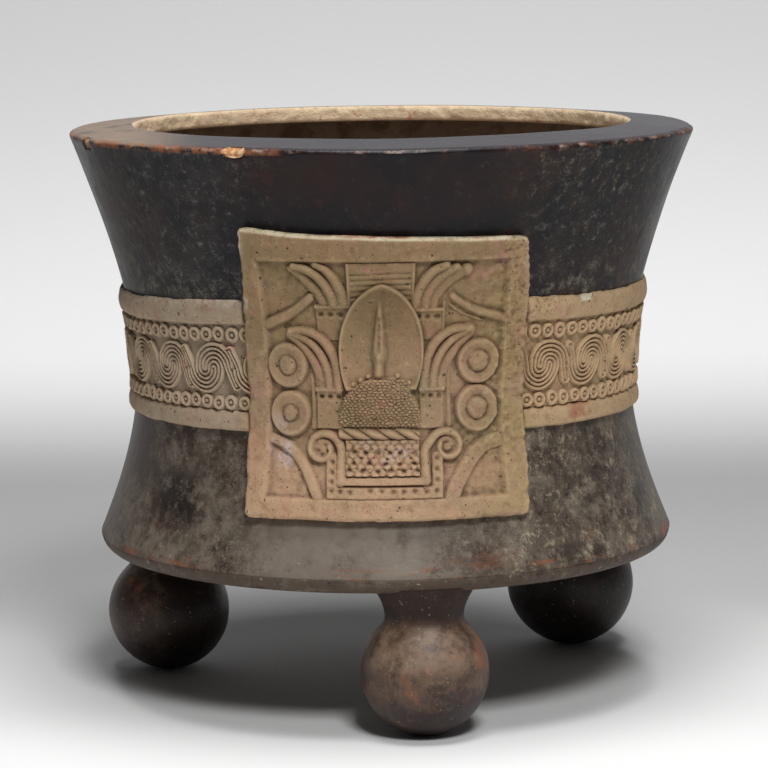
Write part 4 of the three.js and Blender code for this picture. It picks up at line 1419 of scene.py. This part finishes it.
def noise_over(
    tree: Tree, place: Socket, size: float, stretch: tuple[float, float, float],
    detail: float, speckle: float, shift: float = 0.0,
) -> Socket:
    """Add noise over the object's own space.

    Args:
        tree: The material's node tree.
        place: The object coordinates.
        size: How far apart its patches are, in millimetres.
        stretch: How much longer they are along X, Y and Z.
        detail: How many finer layers it has.
        speckle: How strong each finer layer is.
        shift: Where the noise is cut.

    Returns:
        The noise, from 0 to 1.
    """
    vector = add_node(tree, "ShaderNodeMapping", {
        "Vector": place, "Location": (shift, shift / 2, -shift),
        "Scale": [1 / (size * MM * s) for s in stretch],
    })
    return add_node(tree, "ShaderNodeTexNoise", {
        "Vector": vector.outputs[0], "Scale": 1.0, "Detail": detail, "Roughness": speckle,
    }).outputs["Fac"]


@dataclass(frozen=True)
class Zone:
    """Where a patch may lie.

    Args:
        axis: X, Y or Z, in millimetres, or the name of an attribute of the mesh.
        start: It fades in from the first value to the second.
        end: It fades out from the first value to the second, if it ends.
    """

    axis: str
    start: tuple[float, float]
    end: tuple[float, float] | None = None


@dataclass(frozen=True)
class Patch:
    """A patchy colour over a finish.

    Args:
        colour: Its colour.
        size: How far apart its patches are, in millimetres.
        cover: The noise values between which it fades in: lower ones cover more.
        strength: How much of it shows where it is full.
        roughness: The surface's roughness there, or None to leave it.
        detail: How ragged its edges are.
        stretch: How much longer it is along X, Y and Z.
        shift: Where its noise is cut, so that no two patches lie alike.
        zones: Where it may lie.
        speckle: How strong its finer grain is.
    """

    colour: str
    size: float
    cover: tuple[float, float]
    strength: float
    roughness: float | None = None
    detail: float = 6.0
    stretch: tuple[float, float, float] = (1.0, 1.0, 1.0)
    shift: float = 0.0
    zones: tuple[Zone, ...] = ()
    speckle: float = 0.62


@dataclass(frozen=True)
class Grain:
    """Unevenness too fine for the mesh: the bumps' distance and height, in millimetres."""

    size: float
    height: float
    detail: float = 3.0
    stretch: tuple[float, float, float] = (1.0, 1.0, 1.0)


@dataclass(frozen=True)
class ClayFinish:
    """A fired surface: its ground colour, what lies over it, and its grain."""

    name: str
    ground: str
    roughness: float
    patches: tuple[Patch, ...]
    grains: tuple[Grain, ...]
    bare: "ClayFinish | None" = None
    specular: float = 0.3

    def material(self) -> bpy.types.Material:
        """The finish as a material."""
        material = bpy.data.materials.new(self.name)
        material.use_nodes = True
        tree = material.node_tree
        tree.nodes.clear()
        place = add_node(tree, "ShaderNodeTexCoord").outputs["Object"]
        colour, roughness, height = self.layers(tree, place)
        if self.bare:
            bare = add_node(tree, "ShaderNodeAttribute", attribute_name="bare").outputs["Fac"]
            inner_colour, inner_roughness, inner_height = self.bare.layers(tree, place)
            colour = blend_colours(tree, bare, colour, inner_colour)
            roughness = blend_values(tree, bare, roughness, inner_roughness)
            height = blend_values(tree, bare, height, inner_height)
        bump = add_node(tree, "ShaderNodeBump", {"Height": height, "Distance": MM, "Strength": 1.0})
        shader = add_node(tree, "ShaderNodeBsdfPrincipled", {
            "Base Color": colour, "Roughness": roughness, "Normal": bump.outputs["Normal"], "IOR": 1.5,
            "Specular IOR Level": self.specular,
        })
        add_node(tree, "ShaderNodeOutputMaterial", {"Surface": shader.outputs["BSDF"]})
        return material

    def layers(self, tree: Tree, place: Socket) -> tuple[Value, Value, Value]:
        """The finish's colour, roughness and height in millimetres, each plain where nothing varies it."""
        axes = add_node(tree, "ShaderNodeSeparateXYZ", {"Vector": place})
        colour, roughness, height = linear(self.ground), self.roughness, 0.0
        for patch in self.patches:
            factor = self._patch_factor(tree, place, axes, patch)
            colour = blend_colours(tree, factor, colour, linear(patch.colour))
            if patch.roughness is not None:
                roughness = blend_values(tree, factor, roughness, patch.roughness)
        for grain in self.grains:
            noise = noise_over(tree, place, grain.size, grain.stretch, grain.detail, 0.6)
            links = {0: noise, 1: grain.height, 2: height}
            height = add_node(tree, "ShaderNodeMath", links, operation="MULTIPLY_ADD").outputs[0]
        return colour, roughness, height

    def _patch_factor(self, tree: Tree, place: Socket, axes: bpy.types.Node, patch: Patch) -> Socket:
        """How much of a patch shows at each place."""
        noise = noise_over(tree, place, patch.size, patch.stretch, patch.detail, patch.speckle, patch.shift)
        factor = add_node(tree, "ShaderNodeMapRange", {
            "Value": noise, "From Min": patch.cover[0], "From Max": patch.cover[1],
            "To Min": 0.0, "To Max": patch.strength,
        }, interpolation_type="SMOOTHSTEP").outputs[0]
        for zone in patch.zones:
            if zone.axis in ("X", "Y", "Z"):
                value, unit = axes.outputs[zone.axis], MM
            else:
                stored = add_node(tree, "ShaderNodeAttribute", attribute_name=zone.axis)
                value, unit = stored.outputs["Fac"], 1.0
            fades = [(zone.start, 0.0, 1.0)] + ([(zone.end, 1.0, 0.0)] if zone.end else [])
            for (first, second), outside, inside in fades:
                if first > second:
                    first, second, outside, inside = second, first, inside, outside
                fade = add_node(tree, "ShaderNodeMapRange", {
                    "Value": value, "From Min": first * unit, "From Max": second * unit,
                    "To Min": outside, "To Max": inside,
                }, interpolation_type="SMOOTHSTEP").outputs[0]
                both = add_node(tree, "ShaderNodeMath", {0: factor, 1: fade}, operation="MULTIPLY")
                factor = both.outputs[0]
        return factor


@dataclass(frozen=True)
class ReliefFinish(ClayFinish):
    """Bare clay whose hollows hold dirt and whose high places are rubbed.

    Args:
        dirt: The dirt's colour.
        dirt_share: How much of it lies in the deepest hollows.
        dirt_from: How high over its surroundings a place is where the dirt is full and where it ends.
        rubbed: The colour of a rubbed place.
        rubbed_share: How much of that the highest places have.
        rubbed_from: How high over its surroundings a place is where rubbing starts and where it is full.
    """

    dirt: str = "#3A2C20"
    dirt_share: float = 0.55
    dirt_from: Point = (-0.9, -0.08)
    rubbed: str = "#D8BC96"
    rubbed_share: float = 0.28
    rubbed_from: Point = (0.1, 0.9)

    def layers(self, tree: Tree, place: Socket) -> tuple[Value, Value, Value]:
        """The plain layers, with the mesh's cavity attribute laid over their colour."""
        colour, roughness, height = super().layers(tree, place)
        cavity = add_node(tree, "ShaderNodeAttribute", attribute_name="cavity").outputs["Fac"]
        marks = (
            (self.dirt, self.dirt_from, self.dirt_share, 0.0),
            (self.rubbed, self.rubbed_from, 0.0, self.rubbed_share),
        )
        for shade, (first, last), start, end in marks:
            share = add_node(tree, "ShaderNodeMapRange", {
                "Value": cavity, "From Min": first, "From Max": last, "To Min": start, "To Max": end,
            }).outputs[0]
            colour = blend_colours(tree, share, colour, linear(shade))
        return colour, roughness, height


def blend_colours(tree: Tree, factor: Value, first: Value, second: Value) -> Socket:
    """A mix of two colours, of which factor says how much is the second."""
    node = add_node(tree, "ShaderNodeMix", {0: factor, 6: first, 7: second}, data_type="RGBA")
    return node.outputs[2]


def blend_values(tree: Tree, factor: Value, first: Value, second: Value) -> Socket:
    """A mix of two numbers, of which factor says how much is the second."""
    return add_node(tree, "ShaderNodeMix", {0: factor, 2: first, 3: second}, data_type="FLOAT").outputs[0]


BELOW_BAND = Zone("Z", (136.0, 128.0))
FRONT = Zone("Y", (-90.0, -97.0))
FRONT_HALF = Zone("Y", (-20.0, -35.0))
RIM_EDGE = Zone("Z", (240.0, 246.0))
INSIDE = Zone("Z", (249.2, 247.6))
WORN = Zone("worn", (0.15, 0.75))
CHIPPED = Zone("chip", (0.2, 0.5))
# A cover this low leaves no gaps.
WHOLE = (0.0, 0.05)

# Unslipped tan clay, pressed in a mould: matt and sandy, pink and ochre, with salt bloom and dark specks.
BARE_CLAY = ReliefFinish(
    name="bare_pressed_clay",
    ground="#A0866A",
    roughness=0.9,
    specular=0.2,
    patches=(
        Patch("#B48A6C", 38.0, (0.44, 0.66), 0.65, shift=1.7),
        Patch("#8F7C5C", 30.0, (0.46, 0.66), 0.7, shift=5.1),
        Patch("#86704F", 40.0, (0.0, 0.2), 0.6, shift=2.3,
              zones=(Zone("Z", (150.0, 182.0)), FRONT, Zone("X", (60.0, 52.0)))),
        Patch("#C6A182", 40.0, (0.2, 0.5), 0.6, shift=4.9,
              zones=(Zone("Z", (140.0, 112.0)), FRONT, Zone("X", (40.0, 0.0)))),
        Patch("#A8925F", 22.0, (0.38, 0.60), 0.5, shift=2.9, zones=(Zone("X", (38.0, 54.0)), FRONT)),
        Patch("#B3A592", 24.0, (0.10, 0.50), 0.6, shift=5.7, zones=(Zone("X", (-57.0, -62.0)),)),
        Patch("#C2A682", 24.0, (0.10, 0.50), 0.6, shift=5.2, zones=(Zone("X", (59.0, 64.0)),)),
        Patch("#B07C72", 12.0, (0.56, 0.68), 0.45, shift=4.4, detail=9.0),
        Patch("#C0B2A8", 15.0, (0.60, 0.74), 0.45, shift=8.3, detail=12.0, speckle=0.72),
        Patch("#C9BEC2", 9.0, (0.48, 0.68), 0.45, shift=6.2, detail=14.0, speckle=0.8,
              zones=(Zone("X", (-19.0, -16.0), (6.0, 14.0)),
                     Zone("Z", (112.0, 122.0), (129.0, 130.5)), FRONT)),
        Patch("#CFC2C6", 7.0, (0.44, 0.60), 0.7, shift=1.2, detail=14.0, speckle=0.8,
              zones=(Zone("X", (-50.0, -47.0), (-41.0, -37.0)),
                     Zone("Z", (114.0, 120.0), (126.0, 144.0)), FRONT)),
        Patch("#D2C6BA", 3.4, (0.42, 0.58), 0.85, shift=7.1, detail=14.0, speckle=0.9,
              zones=(Zone("Z", (182.0, 187.5), (188.5, 190.0)), Zone("X", (-56.5, -57.5)))),
        # Painted shade in the hollow of the blade's face, growing darker towards its top.
        Patch("#6E5940", 60.0, WHOLE, 0.45, shift=3.5,
              zones=(Zone("X", (-17.0, -8.0), (6.0, 14.0)),
                     Zone("Z", (162.0, 188.0), (192.0, 196.0)), FRONT)),
        Patch("#D8D2BC", 4.0, (0.30, 0.42), 0.9, shift=7.6, detail=8.0,
              zones=(Zone("X", (84.3, 85.5), (89.2, 90.6)),
                     Zone("Z", (182.5, 183.4), (185.4, 186.4)), FRONT_HALF)),
        Patch("#9C5C46", 9.0, (0.30, 0.50), 0.7, shift=1.8, detail=8.0,
              zones=(Zone("X", (78.0, 82.0), (88.0, 91.0)),
                     Zone("Z", (131.0, 133.0), (137.5, 138.5)), FRONT_HALF)),
        Patch("#74583E", 6.0, (0.48, 0.70), 0.6, shift=3.3, detail=14.0, speckle=0.8),
        Patch("#CDB899", 3.2, (0.54, 0.70), 0.5, shift=6.4, detail=10.0, speckle=0.8),
        Patch("#DDD0B2", 9.0, (0.30, 0.52), 0.9, shift=2.2, detail=12.0, speckle=0.7,
              zones=(WORN, Zone("Z", (206.0, 212.0)))),
        Patch("#B06A4C", 14.0, (0.50, 0.60), 0.7, shift=3.8, detail=8.0,
              zones=(Zone("worn", (0.8, 1.0)), Zone("Z", (209.0, 213.0)))),
        Patch("#5C482F", 1.7, (0.48, 0.66), 0.6, shift=4.7, detail=4.0,
              zones=(Zone("X", (47.0, 51.0)), Zone("Z", (140.0, 165.0)), FRONT)),
        Patch("#6B543C", 1.3, (0.58, 0.72), 0.6, shift=5.9, detail=3.0),
        Patch("#231B16", 1.9, (0.71, 0.745), 0.85, shift=9.6, detail=1.0),
    ),
    grains=(Grain(3.2, 0.40, 5.0), Grain(0.95, 0.34, 2.0), Grain(0.45, 0.14, 1.0)),
)

# The rim's inner face and the bowl's inside: bare tan clay at the lip, greyer tan with brown mottles below
# it.
BARE_LIP = ClayFinish(
    name="bare_lip_clay",
    ground="#D0B89A",
    roughness=0.85,
    specular=0.2,
    patches=(
        Patch("#E0CBA8", 9.0, (0.44, 0.64), 0.75, shift=2.2, detail=12.0, speckle=0.72),
        Patch("#A58868", 5.0, (0.50, 0.68), 0.6, shift=4.8, detail=12.0, speckle=0.72),
        Patch("#BC6C5A", 5.0, (0.61, 0.68), 0.7, shift=6.6, detail=4.0),
        Patch("#B6A494", 60.0, WHOLE, 0.94, shift=1.1, zones=(INSIDE,)),
        Patch("#80695A", 12.0, (0.46, 0.66), 0.7, shift=3.5, zones=(INSIDE,)),
    ),
    grains=(Grain(2.6, 0.6), Grain(0.8, 0.25)),
)

# Dark iron slip, rubbed with a pebble to a half gloss: near black above the band, grey below it, partly its
# own colour and partly painted sheen where the lower wall faces up.
BURNISHED_SLIP = ClayFinish(
    name="burnished_dark_slip",
    ground="#0C0B12",
    roughness=0.36,
    specular=0.2,
    bare=BARE_LIP,
    patches=(
        Patch("#261512", 50.0, (0.42, 0.64), 0.8, 0.40, shift=0.6, detail=9.0),
        Patch("#3C1F18", 22.0, (0.54, 0.68), 0.6, 0.44, shift=3.9, detail=12.0, speckle=0.7),
        Patch("#3A3632", 18.0, (0.44, 0.62), 0.7, 0.55, shift=7.7, detail=14.0, speckle=0.8,
              zones=(Zone("X", (-45.0, -90.0)),)),
        Patch("#30271F", 20.0, (0.44, 0.62), 0.6, 0.55, shift=4.1, detail=14.0, speckle=0.8,
              zones=(Zone("X", (30.0, 80.0)),)),
        Patch("#45423E", 9.0, (0.54, 0.68), 0.5, 0.6, shift=5.5, detail=14.0, speckle=0.85),
        Patch("#8A8272", 5.0, (0.52, 0.62), 0.7, 0.7, shift=8.9, detail=15.0, speckle=0.9,
              zones=(Zone("X", (40.0, 85.0)), Zone("Z", (190.0, 205.0)))),
        Patch("#7C7972", 5.0, (0.52, 0.62), 0.7, 0.7, shift=4.6, detail=15.0, speckle=0.9,
              zones=(Zone("X", (-30.0, -75.0)),)),
        Patch("#8B8780", 1.6, (0.70, 0.77), 0.5, 0.7, shift=2.7, detail=3.0),
        Patch("#98917F", 9.0, (0.49, 0.62), 0.6, 0.75, shift=6.9, detail=15.0, speckle=0.9,
              zones=(Zone("Z", (184.0, 187.0), (189.0, 208.0)),)),
        # Grey over the lower wall: partly the slip's own colour, partly painted sheen where the wall faces up
        # to the light.
        Patch("#544A40", 70.0, WHOLE, 0.95, 0.45, shift=2.4, zones=(BELOW_BAND,)),
        Patch("#3A2C26", 34.0, (0.42, 0.60), 0.8, 0.42, shift=1.9, detail=10.0, zones=(BELOW_BAND,)),
        Patch("#786D60", 16.0, (0.42, 0.58), 0.8, 0.6, shift=6.1, detail=14.0, speckle=0.8,
              zones=(BELOW_BAND,)),
        Patch("#241D1C", 10.0, (0.53, 0.63), 0.75, 0.4, shift=9.3, detail=14.0, speckle=0.8,
              zones=(BELOW_BAND,)),
        Patch("#9A8F80", 3.6, (0.53, 0.63), 0.65, 0.7, shift=4.2, detail=14.0, speckle=0.85,
              zones=(BELOW_BAND,)),
        Patch("#A89C84", 6.0, (0.52, 0.60), 0.8, 0.7, shift=7.2, detail=14.0, speckle=0.85,
              zones=(BELOW_BAND, Zone("X", (40.0, 62.0)))),
        Patch("#241C1B", 4.5, (0.53, 0.63), 0.75, 0.5, shift=8.1, detail=12.0, speckle=0.85,
              zones=(BELOW_BAND,)),
        Patch("#2B2523", 18.0, (0.44, 0.60), 0.7, 0.45, shift=5.1, detail=14.0, speckle=0.8,
              zones=(BELOW_BAND, Zone("X", (56.0, 84.0)))),
        Patch("#1F1A19", 11.0, (0.40, 0.52), 0.85, 0.4, shift=6.7, detail=14.0, speckle=0.8,
              zones=(Zone("X", (-106.0, -94.0), (-84.0, -70.0)),
                     Zone("Z", (82.0, 95.0), (104.0, 118.0)), FRONT_HALF)),
        Patch("#382721", 60.0, (0.30, 0.46), 0.85, 0.42, shift=7.4, detail=8.0,
              zones=(BELOW_BAND, Zone("X", (-98.0, -106.0)), Zone("Z", (92.0, 112.0)))),
        Patch("#6C4530", 12.0, (0.54, 0.68), 0.65, 0.5, shift=1.3, detail=12.0, speckle=0.7,
              stretch=(3.0, 3.0, 0.7), zones=(Zone("Z", (92.0, 80.0)),)),
        Patch("#7C7267", 34.0, (0.30, 0.50), 0.8, 0.36, shift=3.1, detail=12.0, speckle=0.7,
              zones=(Zone("Z", (97.0, 91.0)), Zone("X", (-72.0, -40.0), (5.0, 45.0)), FRONT_HALF)),
        Patch("#86523A", 9.0, (0.52, 0.62), 0.8, 0.6, shift=8.8, detail=12.0, speckle=0.7,
              stretch=(3.2, 3.2, 0.6), zones=(Zone("Z", (76.0, 74.0)), Zone("Z", (69.0, 71.5)))),
        Patch("#4E4136", 14.0, (0.30, 0.52), 0.9, 0.6, shift=5.2, detail=12.0, speckle=0.76,
              zones=(Zone("Z", (71.8, 69.8)),)),
        Patch("#261F1D", 9.0, (0.52, 0.64), 0.75, 0.5, shift=7.9, detail=12.0, speckle=0.8,
              zones=(Zone("Z", (72.0, 70.0)),)),
        Patch("#B9AB92", 3.2, (0.60, 0.69), 0.8, 0.75, shift=2.8, detail=8.0, speckle=0.75,
              zones=(Zone("Z", (82.0, 73.0)),)),
        # Painted reflection: the lip's top is grey where its burnished slip reflects the sky.
        Patch("#343136", 40.0, WHOLE, 0.9, 0.40, shift=4.6, zones=(Zone("Z", (252.2, 253.2)),)),
        Patch("#8A7868", 16.0, (0.30, 0.52), 0.85, 0.6, shift=6.3, detail=12.0, speckle=0.76,
              zones=(Zone("Z", (251.9, 252.8)), Zone("X", (-70.0, -112.0)))),
        Patch("#8F5A3E", 13.0, (0.46, 0.58), 0.85, 0.6, shift=3.7, detail=12.0, speckle=0.75,
              zones=(WORN, RIM_EDGE, Zone("X", (-30.0, -62.0)))),
        Patch("#5E3A2C", 11.0, (0.50, 0.60), 0.8, 0.6, shift=2.5, detail=12.0, speckle=0.8,
              zones=(WORN, RIM_EDGE, Zone("X", (40.0, 70.0)))),
        # Painted highlight: a broken pale line along the rim's rounded outer edge, laid over its wear.
        Patch("#9C8478", 11.0, (0.50, 0.62), 0.65, 0.6, shift=9.1, detail=12.0, speckle=0.75,
              zones=(Zone("worn", (0.88, 1.0)), RIM_EDGE)),
        Patch("#9F7B5C", 60.0, WHOLE, 1.0, 0.85, shift=1.5, zones=(CHIPPED,)),
        Patch("#B0764A", 60.0, WHOLE, 0.9, 0.85, shift=2.6, zones=(CHIPPED, Zone("X", (-90.0, -70.0)))),
        Patch("#D0B896", 3.0, (0.45, 0.60), 0.7, 0.85, shift=5.8, zones=(CHIPPED,)),
    ),
    grains=(
        Grain(15.0, 0.4, 2.0), Grain(4.0, 0.16, 5.0), Grain(1.2, 0.07, 2.0),
        Grain(2.2, 0.10, 1.0, (1.0, 1.0, 4.0)),
    ),
)

# The same slip on the feet: browner, with orange spots where it is rubbed through, darker towards the bottom,
# and with painted shade on the necks and on the two balls under the bowl.
FOOT_SLIP = ClayFinish(
    name="burnished_foot_slip",
    ground="#43312A",
    roughness=0.42,
    specular=0.28,
    patches=(
        Patch("#6C5646", 20.0, (0.42, 0.60), 0.85, 0.5, shift=2.1, detail=14.0, speckle=0.76),
        Patch("#96552F", 15.0, (0.56, 0.66), 0.75, 0.5, shift=5.7, detail=10.0, speckle=0.7),
        Patch("#29211F", 18.0, (0.48, 0.62), 0.8, 0.36, shift=7.2, detail=14.0, speckle=0.76),
        Patch("#9C8A70", 7.0, (0.54, 0.70), 0.75, 0.7, shift=3.6, detail=14.0, speckle=0.85),
        Patch("#8C7663", 15.0, (0.38, 0.58), 0.7, 0.55, shift=4.4, detail=12.0, speckle=0.76,
              zones=(Zone("Z", (26.0, 36.0), (46.0, 52.0)), Zone("X", (-14.0, -4.0), (34.0, 44.0)))),
        Patch("#8F5230", 9.0, (0.38, 0.58), 0.7, 0.55, shift=1.9, detail=12.0, speckle=0.75,
              zones=(Zone("Z", (28.0, 33.0), (42.0, 46.0)), Zone("X", (36.0, 39.0), (43.0, 47.0)))),
        Patch("#231C20", 16.0, (0.30, 0.54), 0.75, 0.4, shift=6.8, detail=10.0, speckle=0.7,
              zones=(Zone("Z", (24.0, 12.0)),)),
        # Darker brown over the necks and the tops of the balls: partly the necks' own colour, partly painted
        # shade under the bowl and the necks' painted shadow on the balls.
        Patch("#23160F", 26.0, (0.20, 0.45), 0.88, 0.7, shift=8.3, zones=(Zone("Z", (47.0, 54.0)),)),
        # Painted shade: near black over the two balls under the bowl, all but the left ball's outer side.
        Patch("#16110F", 60.0, WHOLE, 0.86, 0.4, shift=3.3,
              zones=(Zone("Y", (-30.0, -10.0)), Zone("X", (-112.0, -96.0)))),
        Patch("#B5A78E", 1.5, (0.66, 0.75), 0.5, 0.75, shift=8.5, detail=2.0),
    ),
    grains=(Grain(9.0, 0.35, 3.0), Grain(2.5, 0.18, 5.0), Grain(0.8, 0.07, 2.0)),
)


# Studio

@dataclass(frozen=True)
class Lamp:
    """A soft square lamp that faces a point of the vessel; lengths are in metres."""

    name: str
    place: tuple[float, float, float]
    size: float
    watts: float
    aim: tuple[float, float, float] = (0.0, 0.0, 0.14)

    def add(self) -> None:
        """Hang the lamp."""
        data = bpy.data.lights.new(self.name, "AREA")
        data.shape = "SQUARE"
        data.size = self.size
        data.energy = self.watts
        lamp = bpy.data.objects.new(self.name, data)
        bpy.context.scene.collection.objects.link(lamp)
        away = Vector(self.place) - Vector(self.aim)
        lamp.rotation_euler = away.to_track_quat("Z", "Y").to_euler()
        lamp.location = self.place


@dataclass(frozen=True)
class Studio:
    """The pale floor and wall, the lamps and the camera, in metres and radians."""

    camera_place: tuple[float, float, float] = (0.0001, -1.55, 0.3591)
    pitch: float = 0.143
    roll: float = -0.011
    focal_pixels: float = 3441.8
    frame_pixels: float = 768.0
    sensor: float = 36.0
    lamps: tuple[Lamp, ...] = (
        Lamp("overhead_lamp", (0.08, -0.25, 2.0), 0.76, 33.0),
        Lamp("front_lamp", (0.32, -1.40, 1.66), 0.5, 27.0),
    )
    world_strength: float = 0.035
    # Distances along the sweep, with its colours there: painted light falloff, so the floor is paler in front
    # than behind, darkest in a band behind the vessel, and pale again up the wall.
    sweep_colours: tuple[tuple[float, str], ...] = (
        (-0.16, "#DFDFDF"), (-0.04, "#D2D2D2"), (0.20, "#A4A4A4"),
        (0.50, "#9E9E9E"), (0.80, "#E8E8E8"), (1.4, "#CACACA"),
    )
    sweep_near: float = -3.0
    sweep_bend: float = 0.45
    sweep_curve: float = 0.8
    sweep_height: float = 4.5
    sweep_half: float = 4.0

    def build(self) -> None:
        """Set up everything that isn't the vessel."""
        self._camera()
        for lamp in self.lamps:
            lamp.add()
        world = bpy.data.worlds.new("studio_world")
        world.use_nodes = True
        background = world.node_tree.nodes["Background"]
        background.inputs["Color"].default_value = linear("#F2F2F2")
        background.inputs["Strength"].default_value = self.world_strength
        bpy.context.scene.world = world
        bpy.context.scene.view_settings.view_transform = "Standard"
        self._sweep()

    def _camera(self) -> None:
        """The camera at the photograph's angle."""
        data = bpy.data.cameras.new("camera")
        data.sensor_width = self.sensor
        data.lens = self.focal_pixels * self.sensor / self.frame_pixels
        data.clip_end = 50.0
        camera = bpy.data.objects.new("camera", data)
        bpy.context.scene.collection.objects.link(camera)
        camera.matrix_world = (
            Matrix.Translation(self.camera_place)
            @ Matrix.Rotation(math.pi / 2 - self.pitch, 4, "X")
            @ Matrix.Rotation(self.roll, 4, "Z")
        )
        bpy.context.scene.camera = camera

    def _sweep(self) -> None:
        """A floor that curves up into a wall behind the vessel."""
        bm = bmesh.new()
        bend, curve, half = self.sweep_bend, self.sweep_curve, self.sweep_half
        path = [(self.sweep_near, 0.0), (bend, 0.0)]
        for step in range(1, 17):
            angle = math.pi / 2 * step / 16
            path.append((bend + curve * math.sin(angle), curve - curve * math.cos(angle)))
        path.append((bend + curve, self.sweep_height))
        verts = [bm.verts.new((-half, y, z)) for y, z in path]
        edges = [bm.edges.new(pair) for pair in zip(verts, verts[1:])]
        grown = bmesh.ops.extrude_edge_only(bm, edges=edges)["geom"]
        moved = [part for part in grown if isinstance(part, bmesh.types.BMVert)]
        bmesh.ops.translate(bm, verts=moved, vec=(2 * half, 0, 0))
        bm.normal_update()
        bmesh.ops.reverse_faces(bm, faces=[face for face in bm.faces if face.normal.z - face.normal.y < 0])
        mesh = bpy.data.meshes.new("studio_sweep")
        bm.to_mesh(mesh)
        bm.free()
        mesh.polygons.foreach_set("use_smooth", [True] * len(mesh.polygons))
        mesh.materials.append(self._paper())
        sweep = bpy.data.objects.new("studio_sweep", mesh)
        bpy.context.scene.collection.objects.link(sweep)

    def _paper(self) -> bpy.types.Material:
        """Matt paper with painted light falloff along the sweep, clear from behind, where the vessel is seen
        through it.
        """
        material = bpy.data.materials.new("pale_paper")
        material.use_nodes = True
        tree = material.node_tree
        shader = tree.nodes["Principled BSDF"]
        place = add_node(tree, "ShaderNodeTexCoord").outputs["Object"]
        axes = add_node(tree, "ShaderNodeSeparateXYZ", {"Vector": place})
        lengths = {0: axes.outputs["Y"], 1: axes.outputs["Z"]}
        along = add_node(tree, "ShaderNodeMath", lengths, operation="ADD").outputs[0]
        colour = linear(self.sweep_colours[0][1])
        for (start, _), (end, shade) in zip(self.sweep_colours, self.sweep_colours[1:]):
            fade = add_node(tree, "ShaderNodeMapRange", {
                "Value": along, "From Min": start, "From Max": end, "To Min": 0.0, "To Max": 1.0,
            }, interpolation_type="SMOOTHSTEP").outputs[0]
            colour = blend_colours(tree, fade, colour, linear(shade))
        tree.links.new(colour, shader.inputs["Base Color"])
        shader.inputs["Roughness"].default_value = 0.9
        behind = add_node(tree, "ShaderNodeNewGeometry").outputs["Backfacing"]
        clear = add_node(tree, "ShaderNodeBsdfTransparent").outputs[0]
        one_sided = add_node(tree, "ShaderNodeMixShader", {0: behind, 1: shader.outputs[0], 2: clear})
        tree.links.new(one_sided.outputs[0], tree.nodes["Material Output"].inputs["Surface"])
        return material


class Face(Enum):
    """The two sides that a panel stands on, with their turn about the axis."""

    FRONT = ("front", 0.0)
    BACK = ("back", math.pi)


def main() -> None:
    """Build the studio and the vessel, piece by piece."""
    logging.basicConfig(level=logging.INFO, format="%(message)s")
    Studio().build()
    shape = bowl_from_frame()
    slip = BURNISHED_SLIP.material()
    clay = BARE_CLAY.material()
    foot_slip = FOOT_SLIP.material()
    bowl = Bowl(shape)
    bowl.build_wall(slip)
    bowl.build_slab(slip)
    bowl.build_rim(slip)
    for place, seed in (("front", 41), ("right", 42), ("left", 43)):
        Foot(place, seed).build(foot_slip)
    steep, leaning = Scrolls(lean=math.radians(13)), Scrolls(lean=math.radians(25), tight=0.78)
    right = Band(shape, "right", 0.0, 74.0, 65.0, seed=51, scrolls=steep, sag=(1.0, 2.4))
    left = Band(shape, "left", math.pi, 66.9, 63.0, seed=52, scrolls=leaning, sag=(1.0, 4.2))
    for band in (right, left):
        band.build(clay, "bare_clay")
    panel = Panel(shape)
    for face in Face:
        name, turn = face.value
        panel.build(clay, name, turn, "bare_clay")


if __name__ == "__main__":
    main()
